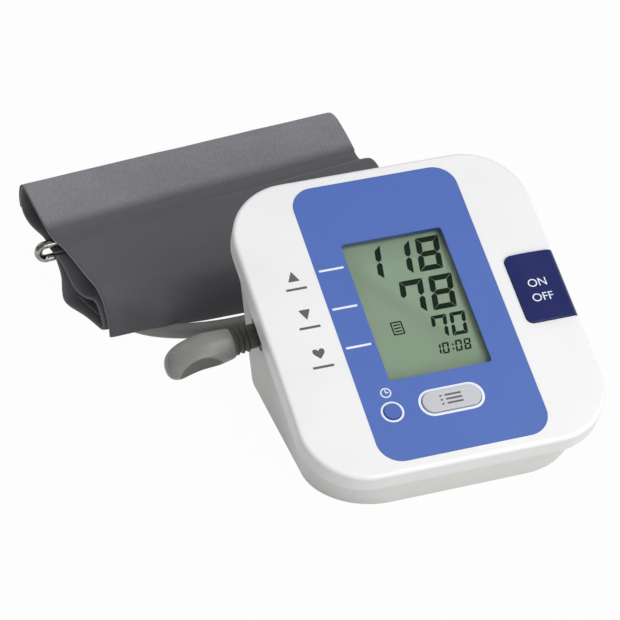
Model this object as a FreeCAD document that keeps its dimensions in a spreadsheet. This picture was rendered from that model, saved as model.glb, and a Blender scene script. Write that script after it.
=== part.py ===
import FreeCAD, Part
import os
import re
from math import atan2, cos, radians, sin, tan
from types import SimpleNamespace

import Sketcher
from FreeCAD import Placement, Rotation, Vector

# Upper-arm blood pressure monitor: a sloping desk case, its air plug and hose, and a folded cuff.
# Frame: +Z up, the table at zero, the origin at the middle of the case's base, the display facing -Y.

# Driving sizes in millimetres, angles in degrees
SIZES = {
    # Case: a tilted face plate with a straight rim, over a lower shell that tapers to the base
    "case_width": 131.0,
    "face_length": 144.2,
    "face_corner": 27.0,
    "face_tilt": 23.9,
    "crease_height": 25.9,
    "front_overhang": 14.6,
    "rim_depth": 9.5,
    "rim_wall": 3.6,
    "rim_step": 2.5,
    "base_width": 115.8,
    "base_length": 121.4,
    "base_corner": 28.7,
    "wall": 2.4,
    "base_floor": 2.8,
    "face_plate": 2.4,
    "edge_round": 1.8,
    # Coloured face panel and display
    "panel_from_key": 6.5,
    "panel_length": 134.0,
    "panel_corner": 10.0,
    "panel_thickness": 0.8,
    "panel_from_crease": 5.0,
    "panel_gap": 0.1,
    "window_width": 44.5,
    "window_length": 67.4,
    "window_corner": 1.5,
    "window_from_crease": 41.4,
    "lens_margin": 2.5,
    "lens_thickness": 1.2,
    "lcd_margin": 4.0,
    "lcd_thickness": 2.8,
    "lcd_gap": 0.1,
    "holder_wall": 1.5,
    "strip_width": 2.4,
    "strip_end_gap": 3.0,
    # Buttons and their switches
    "button_proud": 0.9,
    "button_travel": 0.8,
    "button_gap": 0.25,
    "button_edge_round": 0.4,
    "flange_width": 1.4,
    "flange_thickness": 1.2,
    "flange_drop": 0.3,
    "start_width": 22.5,
    "start_length": 33.0,
    "start_from_crease": 55.0,
    "start_corner": 3.0,
    "start_skirt": 6.9,
    "start_overhang": 0.5,
    "start_wall": 1.8,
    "start_edge_round": 4.2,
    "start_crown": 0.5,
    "memory_width": 25.0,
    "memory_length": 9.5,
    "memory_corner": 4.5,
    "memory_from_crease": 28.0,
    "clock_diameter": 7.0,
    "clock_across": 25.5,
    "clock_from_crease": 27.5,
    "stem_diameter": 5.0,
    "switch_side": 6.0,
    "switch_height": 3.4,
    "plunger_diameter": 3.4,
    "plunger_height": 0.9,
    # Main board under the face
    "board_depth": 11.0,
    "board_thickness": 1.6,
    "board_width": 76.0,
    "board_length": 100.0,
    "board_from_crease": 18.0,
    "ear_width": 20.0,
    "ear_length": 40.0,
    "boss_inset": 3.5,
    "boss_diameter": 6.0,
    "board_screw_diameter": 2.2,
    "board_screw_length": 7.0,
    "board_screw_head": 4.2,
    "board_screw_head_height": 1.5,
    "chip_side": 14.0,
    "chip_height": 1.4,
    "sensor_side": 11.0,
    "sensor_height": 5.0,
    "sensor_across": 22.0,
    "sensor_from_crease": 66.0,
    # Case screws in their posts
    "post_diameter": 7.0,
    "post_across": 45.0,
    "post_from_middle": 43.0,
    "front_post_height": 20.0,
    "rear_post_height": 56.0,
    "screw_diameter": 2.9,
    "screw_length": 12.0,
    "screw_head_diameter": 5.4,
    "screw_head_height": 2.0,
    "screw_seat": 3.0,
    "screw_gap": 0.1,
    # Batteries, their tray and door
    "cell_diameter": 14.3,
    "cell_length": 49.3,
    "cell_nub_diameter": 5.5,
    "cell_nub_height": 1.2,
    "cell_pitch": 15.0,
    "cell_lift": 0.4,
    "tray_wall": 1.6,
    "tray_height": 17.4,
    "tray_front": 3.0,
    "tray_length": 52.4,
    "contact_side": 11.0,
    "contact_thickness": 0.5,
    "contact_bump_diameter": 4.0,
    "contact_bump": 0.3,
    "door_width": 57.4,
    "door_tongue": 1.8,
    "door_ledge": 1.3,
    "door_lift": 0.3,
    "door_gap": 0.3,
    "door_groove_width": 1.2,
    "door_groove_length": 26.0,
    "door_groove_depth": 0.6,
    "door_groove_pitch": 2.4,
    "door_groove_from_rear": 4.8,
    # Air pump, valve, joint and inner tubes
    "pump_across": -4.0,
    "pump_from_middle": 33.0,
    "motor_diameter": 24.2,
    "motor_length": 30.0,
    "head_diameter": 27.0,
    "head_length": 24.0,
    "head_port_forward": 4.0,
    "port_diameter": 4.0,
    "port_length": 4.0,
    "cradle_length": 40.0,
    "cradle_width": 24.0,
    "cradle_height": 7.0,
    "cradle_under": 2.0,
    "pump_gap": 0.2,
    "valve_width": 15.0,
    "valve_length": 16.0,
    "valve_height": 14.0,
    "valve_across": 20.0,
    "valve_from_middle": 10.0,
    "valve_port_height": 8.0,
    "joint_side": 9.0,
    # Air socket, plug and hose
    "socket_from_middle": 15.4,
    "socket_height": 39.2,
    "socket_diameter": 14.0,
    "socket_flange": 18.0,
    "socket_flange_thickness": 1.6,
    "socket_clearance": 0.2,
    "socket_length": 12.0,
    "socket_bore": 8.4,
    "plug_tilt": 9.0,
    "pin_diameter": 8.0,
    "pin_length": 7.0,
    "collar_diameter": 10.4,
    "collar_length": 4.0,
    "rib_diameter": 11.8,
    "rib_core_diameter": 10.2,
    "rib_length": 1.4,
    "rib_pitch": 2.3,
    "grip_root_diameter": 12.8,
    "grip_diameter": 15.2,
    "grip_taper": 11.0,
    "grip_length": 33.0,
    "scoop_radius": 16.0,
    "scoop_depth": 2.0,
    "scoop_from_wall": 30.0,
    "outlet_diameter": 9.6,
    "outlet_reach": 12.0,
    "outlet_from_wall": 24.0,
    "hose_diameter": 7.0,
    "hose_first_run": 13.5,
    "nozzle_diameter": 9.0,
    "nozzle_length": 9.0,
    "nozzle_room_back": 14.0,
    # Cuff: end profiles are drawn in two slanted upright planes, by reach along the plane and height
    "cuff_width": 146.0,
    "cuff_left": 108.6,
    "cuff_front": 87.7,
    "cuff_end_slant": 16.7,
    "flap_thickness": 2.0,
    "foot_reach": 0.9,
    "foot_height": 0.2,
    "knee_reach": 2.2,
    "knee_left": 20.8,
    "knee_right": 27.0,
    "knee_round": 8.0,
    "ridge_reach": 34.0,
    "ridge_left": 27.0,
    "ridge_right": 44.6,
    "ridge_round": 10.0,
    "crease_reach": 44.5,
    "crease_left": 27.6,
    "crease_right": 40.8,
    "crease_round": 8.0,
    "lobe_top_reach": 70.8,
    "lobe_top_left": 43.6,
    "lobe_top_right": 57.0,
    "lobe_top_round": 5.0,
    "lobe_back_reach": 72.6,
    "lobe_back_left": 27.5,
    "lobe_back_right": 41.0,
    "lobe_back_round": 7.5,
    "lobe_under_reach": 60.0,
    "lobe_under_left": 23.6,
    "lobe_under_right": 37.0,
    "lobe_under_round": 14.0,
    "tongue_past_ring": 3.0,
    "tongue_left": 19.6,
    "tongue_right": 33.0,
    "loop_thickness": 1.4,
    "loop_floor": 1.4,
    "loop_front_reach": 5.0,
    "loop_shoulder_reach": 9.5,
    "loop_shoulder_left": 15.2,
    "loop_shoulder_right": 18.0,
    "loop_rear_reach": 39.6,
    "loop_tip_reach": 43.0,
    "loop_tip_left": 17.6,
    "loop_tip_right": 31.0,
    "loop_tip_round": 2.0,
    "loop_dip_reach": 26.0,
    "loop_dip_left": 10.9,
    "loop_dip_right": 15.5,
    "loop_dip_round": 12.0,
    "loop_round": 4.0,
    "bladder_thickness": 1.6,
    "bladder_from_end": 11.0,
    "bladder_from_fold": 7.0,
    "lining_thickness": 1.0,
    "lining_from_end": 3.0,
    "ring_wire": 3.6,
    "ring_gap": 7.2,
    "ring_from_tip": 4.0,
    "ring_past_left": 5.6,
    "ring_past_right": 3.4,
    # Room left round soft pieces, and the overrun of every cut
    "soft_gap": 0.3,
    "overrun": 2.0,
}
S = SimpleNamespace(**SIZES)

# The hose's route after the plug's outlet: behind the case, round, and back under the cuff's front edge
HOSE_ROUTE = [
    (-75.6, 47.0, 12.0),
    (-68.4, 57.4, 5.4),
    (-56.8, 63.6, 3.6),
    (-40.0, 66.8, 3.6),
    (-16.0, 68.8, 3.6),
    (12.0, 69.2, 3.6),
    (36.0, 67.8, 3.6),
    (57.0, 64.2, 3.6),
    (75.5, 64.9, 3.6),
    (87.5, 72.4, 3.6),
    (95.0, 86.5, 3.6),
    (99.2, 107.0, 3.6),
    (99.6, 133.9, 3.6),
    (93.0, 145.9, 3.6),
    (81.6, 152.9, 3.6),
    (68.6, 152.9, 3.6),
    (57.2, 145.9, 3.6),
    (51.7, 133.9, 3.6),
    (51.9, 116.0, 3.6),
    (51.7, 97.1, 3.6),
    (44.8, 85.2, 3.6),
    (32.9, 78.9, 3.6),
    (12.0, 79.2, 3.6),
    (-12.0, 78.8, 3.6),
    (-34.0, 75.8, 3.6),
    (-55.0, 73.4, 3.6),
    (-74.0, 75.2, 3.7),
    (-86.0, 79.3, 4.2),
    (-94.5, 84.2, 4.7),
    (-98.8, 89.2, 5.0),
]
# Direction in which the plug's outlet points
OUTLET_WAY = (0.219, 0.784, -0.581)
# Direction of the plug's finger scoop, in front and below
SCOOP_TURN = 225.0
# Part of each run that a bend may take
RUN_SHARE = 0.45
RIB_COUNT = 3
CELL_COUNT = 4
GROOVE_COUNT = 5

# Sizes that follow from the driving ones
FACE_TURN = radians(S.face_tilt)
S.crease_y = -S.base_length / 2 - S.front_overhang
S.cover_inner_width = S.case_width - 2 * S.rim_wall
S.cover_inner_length = S.face_length - 2 * S.rim_wall
S.cover_inner_corner = S.face_corner - S.rim_wall
S.cover_inner_depth = S.rim_depth - S.face_plate + S.overrun
S.seam_width = S.case_width - 2 * S.rim_step
S.seam_length = S.face_length - 2 * S.rim_step
S.seam_corner = S.face_corner - S.rim_step
S.base_inner_width = S.base_width - 2 * S.wall
S.base_inner_length = S.base_length - 2 * S.wall
S.base_inner_corner = S.base_corner - S.wall
S.seam_inner_width = S.seam_width - 2 * S.wall
S.seam_inner_length = S.seam_length - 2 * S.wall
S.seam_inner_corner = S.seam_corner - S.wall
S.panel_middle = S.panel_from_crease + S.panel_length / 2
S.start_left = S.case_width / 2 - S.start_width
S.panel_width = 2 * (S.start_left - S.panel_from_key)
S.recess_width = S.panel_width + 2 * S.panel_gap
S.recess_length = S.panel_length + 2 * S.panel_gap
S.recess_corner = S.panel_corner + S.panel_gap
S.recess_depth = S.panel_thickness + S.overrun
S.window_middle = S.window_from_crease + S.window_length / 2
S.plate_cut_depth = S.face_plate + 2 * S.overrun
S.lens_width = S.window_width + 2 * S.lens_margin
S.lens_length = S.window_length + 2 * S.lens_margin
S.lcd_width = S.window_width + 2 * S.lcd_margin
S.lcd_length = S.window_length + 2 * S.lcd_margin
S.holder_inner_width = S.lcd_width + 2 * S.lcd_gap
S.holder_inner_length = S.lcd_length + 2 * S.lcd_gap
S.holder_width = S.holder_inner_width + 2 * S.holder_wall
S.holder_length = S.holder_inner_length + 2 * S.holder_wall
S.holder_depth = S.board_depth - S.face_plate
S.holder_cut_depth = S.holder_depth + 2 * S.overrun
S.strip_height = S.holder_depth - S.lens_thickness - S.lcd_thickness
S.strip_length = S.lcd_length - 2 * S.strip_end_gap
S.flange_top = S.face_plate + S.flange_drop
S.flange_bottom = S.flange_top + S.flange_thickness
S.cap_height = S.button_proud + S.flange_top
S.plunger_top = S.board_depth - S.switch_height - S.plunger_height
S.stem_bottom = S.plunger_top - S.button_travel - S.button_gap
S.memory_slot_width = S.memory_width + 2 * S.button_gap
S.memory_slot_length = S.memory_length + 2 * S.button_gap
S.memory_slot_corner = S.memory_corner + S.button_gap
S.memory_flange_width = S.memory_width + 2 * S.flange_width
S.memory_flange_length = S.memory_length + 2 * S.flange_width
S.memory_flange_corner = S.memory_corner + S.flange_width
S.start_right = S.case_width / 2 + S.start_overhang
S.start_middle = S.start_from_crease + S.start_length / 2
S.start_stem_across = (S.start_left + S.start_right) / 2
S.start_slot_left = S.start_left - S.button_gap
S.start_slot_width = S.start_right - S.start_slot_left + 2 * S.start_corner
S.start_slot_length = S.start_length + 2 * S.button_gap
S.start_slot_corner = S.start_corner + S.button_gap
S.start_slot_bottom = S.start_skirt + S.button_travel + 2 * S.button_gap
S.start_slot_depth = S.start_slot_bottom + S.overrun
S.board_under = S.board_depth + S.board_thickness
S.board_middle = S.board_from_crease + S.board_length / 2
S.tray_inner_width = CELL_COUNT * S.cell_pitch + S.tray_wall
S.tray_middle = S.tray_front + S.tray_length / 2
S.tray_top = S.base_floor + S.tray_height
S.cell_height = S.base_floor + S.cell_lift + S.cell_diameter / 2
S.door_length = S.base_length / 2 - S.tray_front
S.door_middle = S.tray_front + S.door_length / 2
S.pump_height = S.tray_top + S.cradle_under + S.head_diameter / 2 + S.pump_gap
S.socket_up = (S.socket_from_middle - S.crease_y - S.rim_depth * sin(FACE_TURN)) / cos(FACE_TURN)
S.socket_seam = S.crease_height + S.socket_up * sin(FACE_TURN) - S.rim_depth * cos(FACE_TURN)
S.wall_lean = atan2((S.seam_width - S.base_width) / 2, S.socket_seam)
S.socket_skew = abs(radians(S.plug_tilt) - S.wall_lean)
S.socket_seat = S.wall / cos(S.socket_skew) + S.socket_flange / 2 * tan(S.socket_skew) + S.socket_clearance
S.joint_inside = S.socket_length + S.port_length
S.grip_from_wall = S.collar_length + RIB_COUNT * S.rib_pitch
S.plug_length = S.grip_from_wall + S.grip_length
S.ring_half_gap = S.ring_gap / 2
S.ring_reach = S.loop_tip_reach + S.ring_from_tip
S.tongue_reach = S.ring_reach - S.tongue_past_ring
S.ring_share = S.tongue_past_ring / (S.lobe_under_reach - S.tongue_reach)
S.ring_middle_left = S.tongue_left + S.ring_share * (S.lobe_under_left - S.tongue_left)
S.ring_middle_right = S.tongue_right + S.ring_share * (S.lobe_under_right - S.tongue_right)

doc = FreeCAD.newDocument("blood_pressure_monitor")
sheet = doc.addObject("Spreadsheet::Sheet", "sizes")
for row, (alias, number) in enumerate(vars(S).items(), start=1):
    sheet.set(f"A{row}", alias)
    sheet.set(f"B{row}", str(number))
    sheet.setAlias(f"B{row}", alias)
doc.recompute()

pieces = []


def keep(thing, name):
    """Name one finished sub-part and put it on the list that is written out."""
    thing.Label = name
    pieces.append(thing)
    return thing


def bind(thing, **formulas):
    """Tie properties to the sheet by formulas written with the sizes' names."""
    for prop, formula in formulas.items():
        thing.setExpression(prop, re.sub(r"[a-z][a-z_]*", r"sizes.\g<0>", formula))
    thing.recompute()
    return thing


def at(x, y, z, turn=None):
    """Place by a point of the part's frame."""
    return Placement(Vector(x, y, z), turn or Rotation())


def on_face(across, up, out=0):
    """Place by the tilted face: across it, up its slope from the front crease, and out of it."""
    face = at(0, S.crease_y, S.crease_height, Rotation(Vector(1, 0, 0), S.face_tilt))
    return face * at(across, up, out)


def cylinder(name, diameter, length, place):
    """Build a cylinder along the Z axis of its place, from two formulas."""
    thing = doc.addObject("Part::Cylinder", name)
    bind(thing, Radius=f"({diameter}) / 2", Height=length)
    thing.Placement = place
    return thing


def block(name, width, length, height, place):
    """Build a block from three formulas; its place is the middle of its lower face."""
    thing = doc.addObject("Part::Box", name)
    bind(thing, Length=width, Width=length, Height=height)
    thing.Placement = place * at(-thing.Length.Value / 2, -thing.Width.Value / 2, 0)
    return thing


def fuse(name, shapes):
    """Join several shapes into one solid."""
    result = doc.addObject("Part::MultiFuse", name)
    result.Shapes = shapes
    return result


def cut(name, base, tools):
    """Take one or more tools away from a base."""
    result = doc.addObject("Part::Cut", name)
    result.Base = base
    result.Tool = tools[0] if len(tools) == 1 else fuse(name + "_tools", tools)
    return result


def group(name, things):
    """Keep several identical solids as one sub-part."""
    result = doc.addObject("Part::Compound", name)
    result.Links = things
    return keep(result, name)


def shaped(name, shape):
    """Hold a shape made from the sizes in code."""
    thing = doc.addObject("Part::Feature", name)
    thing.Shape = shape
    return thing


def origin_plane(body, role):
    """Find one of a body's own origin planes."""
    return next(item for item in body.Origin.OriginFeatures if item.Role == role)


def sketch_in(body, name, role):
    """Start a sketch on one of a body's origin planes."""
    sketch = body.newObject("Sketcher::SketchObject", name)
    sketch.AttachmentSupport = [(origin_plane(body, role), "")]
    sketch.MapMode = "FlatFace"
    return sketch


def rounded_outline(sketch, width, length, corner):
    """Draw a centred rounded rectangle whose three sizes are cells of the sheet."""
    half_width = getattr(S, width) / 2
    half_length = getattr(S, length) / 2
    radius = getattr(S, corner)
    across = half_width - radius
    along = half_length - radius
    sides = [
        (Vector(-across, -half_length, 0), Vector(across, -half_length, 0)),
        (Vector(half_width, -along, 0), Vector(half_width, along, 0)),
        (Vector(across, half_length, 0), Vector(-across, half_length, 0)),
        (Vector(-half_width, along, 0), Vector(-half_width, -along, 0)),
    ]
    corners = [(across, -along, 270), (across, along, 0), (-across, along, 90), (-across, -along, 180)]
    for start, end in sides:
        sketch.addGeometry(Part.LineSegment(start, end), False)
    for x, y, first in corners:
        circle = Part.Circle(Vector(x, y, 0), Vector(0, 0, 1), radius)
        sketch.addGeometry(Part.ArcOfCircle(circle, radians(first), radians(first + 90)), False)
    for side in range(4):
        sketch.addConstraint(Sketcher.Constraint("Tangent", side, 2, 4 + side, 1))
        sketch.addConstraint(Sketcher.Constraint("Tangent", 4 + side, 2, (side + 1) % 4, 1))
    sketch.addConstraint(Sketcher.Constraint("Horizontal", 0))
    sketch.addConstraint(Sketcher.Constraint("Vertical", 1))
    for arc in (5, 6, 7):
        sketch.addConstraint(Sketcher.Constraint("Equal", 4, arc))
    sketch.addConstraint(Sketcher.Constraint("Symmetric", 4, 3, 6, 3, -1, 1))
    named = [
        ("width", Sketcher.Constraint("DistanceX", 3, 1, 1, 1, 2 * half_width), width),
        ("length", Sketcher.Constraint("DistanceY", 0, 1, 2, 1, 2 * half_length), length),
        ("corner", Sketcher.Constraint("Radius", 4, radius), corner),
    ]
    for name, constraint, alias in named:
        index = sketch.addConstraint(constraint)
        sketch.renameConstraint(index, name)
        sketch.setExpression(f"Constraints.{name}", f"sizes.{alias}")


def rounded_plate(name, sizes, depth, place, top_round=None):
    """Build a rounded plate that hangs from its place, with an optional rounded top edge."""
    body = doc.addObject("PartDesign::Body", name)
    sketch = sketch_in(body, name + "_outline", "XY_Plane")
    rounded_outline(sketch, *sizes)
    pad = body.newObject("PartDesign::Pad", name + "_pad")
    pad.Profile = sketch
    pad.Reversed = True
    bind(pad, Length=depth)
    if top_round:
        doc.recompute()
        faces = pad.Shape.Faces
        top = max(range(len(faces)), key=lambda index: faces[index].CenterOfMass.z)
        fillet = body.newObject("PartDesign::Fillet", name + "_fillet")
        fillet.Base = (pad, [f"Face{top + 1}"])
        bind(fillet, Radius=top_round)
    body.Placement = place
    return body


def sized_names(prefix):
    """Give the names of a plate's width, length and corner."""
    return [f"{prefix}_width", f"{prefix}_length", f"{prefix}_corner"]


def case_section(name, prefix, place):
    """Draw one rounded section of the lower shell at its place."""
    sketch = doc.addObject("Sketcher::SketchObject", name)
    rounded_outline(sketch, *sized_names(prefix))
    sketch.Placement = place
    return sketch


def loft(name, sections):
    """Join two sections with straight rulings."""
    result = doc.addObject("Part::Loft", name)
    result.Sections = sections
    result.Solid = True
    result.Ruled = True
    return result


def post_places():
    """Give each case screw's place and the name of its post's height."""
    for side in (-1, 1):
        yield side * S.post_across, -S.post_from_middle, "front_post_height"
        yield side * S.post_across, S.post_from_middle, "rear_post_height"


def board_boss_places():
    """Give the four board screws' places on the face."""
    for side in (-1, 1):
        across = side * (S.board_width / 2 - S.boss_inset)
        yield across, S.board_from_crease + S.boss_inset
        yield across, S.board_from_crease + S.board_length - S.boss_inset


def button_places():
    """Give the middle of each button's stem on the face."""
    return [
        ("start", S.start_stem_across, S.start_middle),
        ("memory", 0, S.memory_from_crease),
        ("clock", -S.clock_across, S.clock_from_crease),
    ]


def socket_place(inside=0):
    """Place on the air socket's axis, pointing out of the case, at a depth inside the wall's face."""
    share = S.socket_height / S.socket_seam
    half_width = (S.base_width + share * (S.seam_width - S.base_width)) / 2
    turn = Rotation(Vector(0, 1, 0), -90 - S.plug_tilt)
    return at(-half_width, S.socket_from_middle, S.socket_height, turn) * at(0, 0, -inside)


def build_bottom_case():
    """Lower shell: a tapering tub with screw posts, the battery opening and the air socket's hole."""
    seam = on_face(0, S.face_length / 2, -S.rim_depth)
    outer = loft("tub_outer", [case_section("base_outline", "base", at(0, 0, 0)),
                               case_section("seam_outline", "seam", seam)])
    inner = loft("tub_inner", [case_section("base_inside", "base_inner", at(0, 0, S.base_floor)),
                               case_section("seam_inside", "seam_inner", seam)])
    tub = cut("tub", outer, [inner])
    posts = []
    holes = battery_opening()
    for index, (x, y, height) in enumerate(post_places()):
        posts.append(cylinder(f"post_{index}", "post_diameter", height, at(x, y, 0)))
        holes.append(cylinder(f"head_hole_{index}", "screw_head_diameter + 2 * screw_gap",
                              f"{height} - screw_seat + overrun", at(x, y, -S.overrun)))
        holes.append(cylinder(f"screw_hole_{index}", "screw_diameter + 2 * screw_gap",
                              f"{height} + overrun", at(x, y, 0)))
    holes.append(cylinder("socket_hole", "socket_diameter + 2 * screw_gap", "4 * wall", socket_place(2 * S.wall)))
    keep(cut("bottom_case", fuse("tub_with_posts", [tub] + posts), holes), "bottom_case")


def battery_opening():
    """Stepped slot in the base, open to the rear, whose ledges carry the battery door."""
    length = "door_length + door_gap + overrun"
    y = S.door_middle + (S.overrun - S.door_gap) / 2
    slot = block("door_slot", "door_width + 2 * door_gap", length, "base_floor + overrun", at(0, y, -S.overrun))
    groove = block("door_groove", "door_width + 2 * door_tongue + 2 * door_gap", length,
                   "base_floor - door_ledge", at(0, y, S.door_ledge))
    return [slot, groove]


def build_top_cover():
    """Upper cover: face plate and rim, with the panel's recess, the window, button slots and bosses."""
    middle = S.face_length / 2
    shell = rounded_plate("cover_outer", ["case_width", "face_length", "face_corner"], "rim_depth",
                          on_face(0, middle), "edge_round")
    hollow = rounded_plate("cover_hollow", sized_names("cover_inner"), "cover_inner_depth",
                           on_face(0, middle, -S.face_plate))
    tray = cut("cover_tray", shell, [hollow])
    joined = fuse("cover_with_bosses", [tray] + board_bosses() + case_bosses())
    recess = rounded_plate("panel_recess", sized_names("recess"), "recess_depth",
                           on_face(0, S.panel_middle, S.overrun))
    start = rounded_plate("start_slot", sized_names("start_slot"), "start_slot_depth",
                          on_face(S.start_slot_left + S.start_slot_width / 2, S.start_middle, S.overrun))
    tools = [recess, start] + face_openings("cover") + boss_holes()
    keep(cut("top_cover", joined, tools), "top_cover")


def board_bosses():
    """Bosses under the face plate that carry the main board."""
    bosses = []
    for index, (across, up) in enumerate(board_boss_places()):
        bosses.append(cylinder(f"board_boss_{index}", "boss_diameter", "board_depth - face_plate / 2",
                               on_face(across, up, -S.board_depth)))
    return bosses


def case_bosses():
    """Upright bosses over the posts of the lower shell, trimmed inside the face plate."""
    above = block("above_face", "2 * case_width", "2 * face_length", "face_length",
                  on_face(0, S.face_length / 2, -S.face_plate / 2))
    bosses = []
    for index, (x, y, height) in enumerate(post_places()):
        full = cylinder(f"case_boss_full_{index}", "post_diameter", "face_length", at(x, y, getattr(S, height)))
        bosses.append(cut(f"case_boss_{index}", full, [above]))
    return bosses


def boss_holes():
    """Screw holes in the cover's bosses."""
    holes = []
    for index, (across, up) in enumerate(board_boss_places()):
        holes.append(cylinder(f"board_boss_hole_{index}", "board_screw_diameter + 2 * screw_gap",
                              "board_screw_length + screw_gap", on_face(across, up, -S.board_under)))
    for index, (x, y, height) in enumerate(post_places()):
        start = getattr(S, height) - S.screw_seat
        holes.append(cylinder(f"case_boss_hole_{index}", "screw_diameter + 2 * screw_gap",
                              "screw_length + screw_gap", at(x, y, start)))
    return holes


def face_openings(owner):
    """Window and the two small buttons' slots, through the face."""
    window = rounded_plate(owner + "_window", sized_names("window"), "plate_cut_depth",
                           on_face(0, S.window_middle, S.overrun))
    memory = rounded_plate(owner + "_memory_slot", sized_names("memory_slot"), "plate_cut_depth",
                           on_face(0, S.memory_from_crease, S.overrun))
    clock = cylinder(owner + "_clock_slot", "clock_diameter + 2 * button_gap", "plate_cut_depth",
                     on_face(-S.clock_across, S.clock_from_crease, S.overrun - S.plate_cut_depth))
    return [window, memory, clock]


def build_face_panel():
    """Coloured panel in the cover's recess, open over the display and the two small buttons."""
    plate = rounded_plate("panel_plate", sized_names("panel"), "panel_thickness", on_face(0, S.panel_middle))
    keep(cut("face_panel", plate, face_openings("panel")), "face_panel")


def build_display():
    """Display stack between the face plate and the board: lens, glass, holder and connector strips."""
    middle = S.window_middle
    under = -S.face_plate
    keep(rounded_plate("display_window", ["lens_width", "lens_length", "window_corner"], "lens_thickness",
                       on_face(0, middle, under)), "display_window")
    keep(rounded_plate("lcd_glass", ["lcd_width", "lcd_length", "window_corner"], "lcd_thickness",
                       on_face(0, middle, under - S.lens_thickness)), "lcd_glass")
    frame = rounded_plate("holder_outer", ["holder_width", "holder_length", "window_corner"], "holder_depth",
                          on_face(0, middle, under))
    hollow = rounded_plate("holder_hollow", ["holder_inner_width", "holder_inner_length", "window_corner"],
                           "holder_cut_depth", on_face(0, middle, under + S.overrun))
    keep(cut("lcd_holder", frame, [hollow]), "lcd_holder")
    strips = []
    for index, side in enumerate((-1, 1)):
        across = side * (S.lcd_width - S.strip_width) / 2
        strips.append(block(f"strip_{index}", "strip_width", "strip_length", "strip_height",
                            on_face(across, middle, -S.board_depth)))
    group("lcd_connector_strips", strips)


def build_start_button():
    """Start button: a cap that wraps over the cover's right edge, with a lip, a skirt and a stem."""
    body = doc.addObject("PartDesign::Body", "start_cap")
    sketch = sketch_in(body, "start_section", "XZ_Plane")
    for edge in start_section_edges():
        sketch.addGeometry(edge, False)
    pad = body.newObject("PartDesign::Pad", "start_pad")
    pad.Profile = sketch
    pad.Midplane = True
    bind(pad, Length="start_length")
    doc.recompute()
    fillet = body.newObject("PartDesign::Fillet", "start_fillet")
    fillet.Base = (pad, left_corner_edges(pad.Shape))
    bind(fillet, Radius="start_corner")
    body.Placement = on_face(0, S.start_middle)
    inner_width = S.start_right - S.start_edge_round - S.start_left - S.start_wall
    across = S.start_left + S.start_wall + inner_width / 2
    hollow = block("start_hollow", "start_right - start_edge_round - start_left - start_wall",
                   "start_length - 2 * start_wall", "button_proud - start_wall + flange_bottom + overrun",
                   on_face(across, S.start_middle, -S.flange_bottom - S.overrun))
    cap = cut("start_cap_hollowed", body, [hollow])
    stem = cylinder("start_stem", "stem_diameter", "stem_bottom",
                    on_face(S.start_stem_across, S.start_middle, -S.stem_bottom))
    keep(fuse("start_stop_button", [cap, stem]), "start_stop_button")


def left_corner_edges(shape):
    """Name the two upright edges at the left end of the start button's cap, above its lip."""
    names = []
    for index, edge in enumerate(shape.Edges, start=1):
        box = edge.BoundBox
        upright = box.ZLength > box.XLength + box.YLength
        if upright and abs(box.Center.x - S.start_left) < S.panel_gap:
            names.append(f"Edge{index}")
    return names


def start_section_edges():
    """Section of the start button's cap, across the face and out of it."""
    left = S.start_left
    right = S.start_right
    proud = S.button_proud
    wall = S.start_wall
    lip = left - S.flange_width
    bend = S.start_edge_round
    crown = Vector((left + right) / 2, proud + S.start_crown, 0)
    bend_start = Vector(right - bend, proud, 0)
    bend_end = Vector(right, proud - bend, 0)
    bend_middle = bend_start + Vector(bend * sin(radians(45)), -bend * (1 - cos(radians(45))), 0)
    corners = [
        bend_end,
        Vector(right, -S.start_skirt, 0),
        Vector(right - wall, -S.start_skirt, 0),
        Vector(right - wall, -S.flange_bottom, 0),
        Vector(lip, -S.flange_bottom, 0),
        Vector(lip, -S.flange_top, 0),
        Vector(left, -S.flange_top, 0),
        Vector(left, proud, 0),
    ]
    edges = [Part.LineSegment(first, second) for first, second in zip(corners, corners[1:])]
    return edges + [Part.Arc(corners[-1], crown, bend_start), Part.Arc(bend_start, bend_middle, bend_end)]


def build_small_buttons():
    """Memory and clock buttons: a cap through the face, a flange under it and a stem."""
    up = S.memory_from_crease
    cap = rounded_plate("memory_cap", sized_names("memory"), "cap_height", on_face(0, up, S.button_proud),
                        "button_edge_round")
    flange = rounded_plate("memory_flange", sized_names("memory_flange"), "flange_thickness",
                           on_face(0, up, -S.flange_top))
    stem = cylinder("memory_stem", "stem_diameter", "stem_bottom - flange_top", on_face(0, up, -S.stem_bottom))
    keep(fuse("memory_button", [cap, flange, stem]), "memory_button")
    spot = (-S.clock_across, S.clock_from_crease)
    cap = cylinder("clock_cap", "clock_diameter", "cap_height", on_face(*spot, -S.flange_top))
    flange = cylinder("clock_flange", "clock_diameter + 2 * flange_width", "flange_thickness",
                      on_face(*spot, -S.flange_bottom))
    stem = cylinder("clock_stem", "stem_diameter", "stem_bottom - flange_top", on_face(*spot, -S.stem_bottom))
    keep(fuse("clock_button", [cap, flange, stem]), "clock_button")


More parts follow.
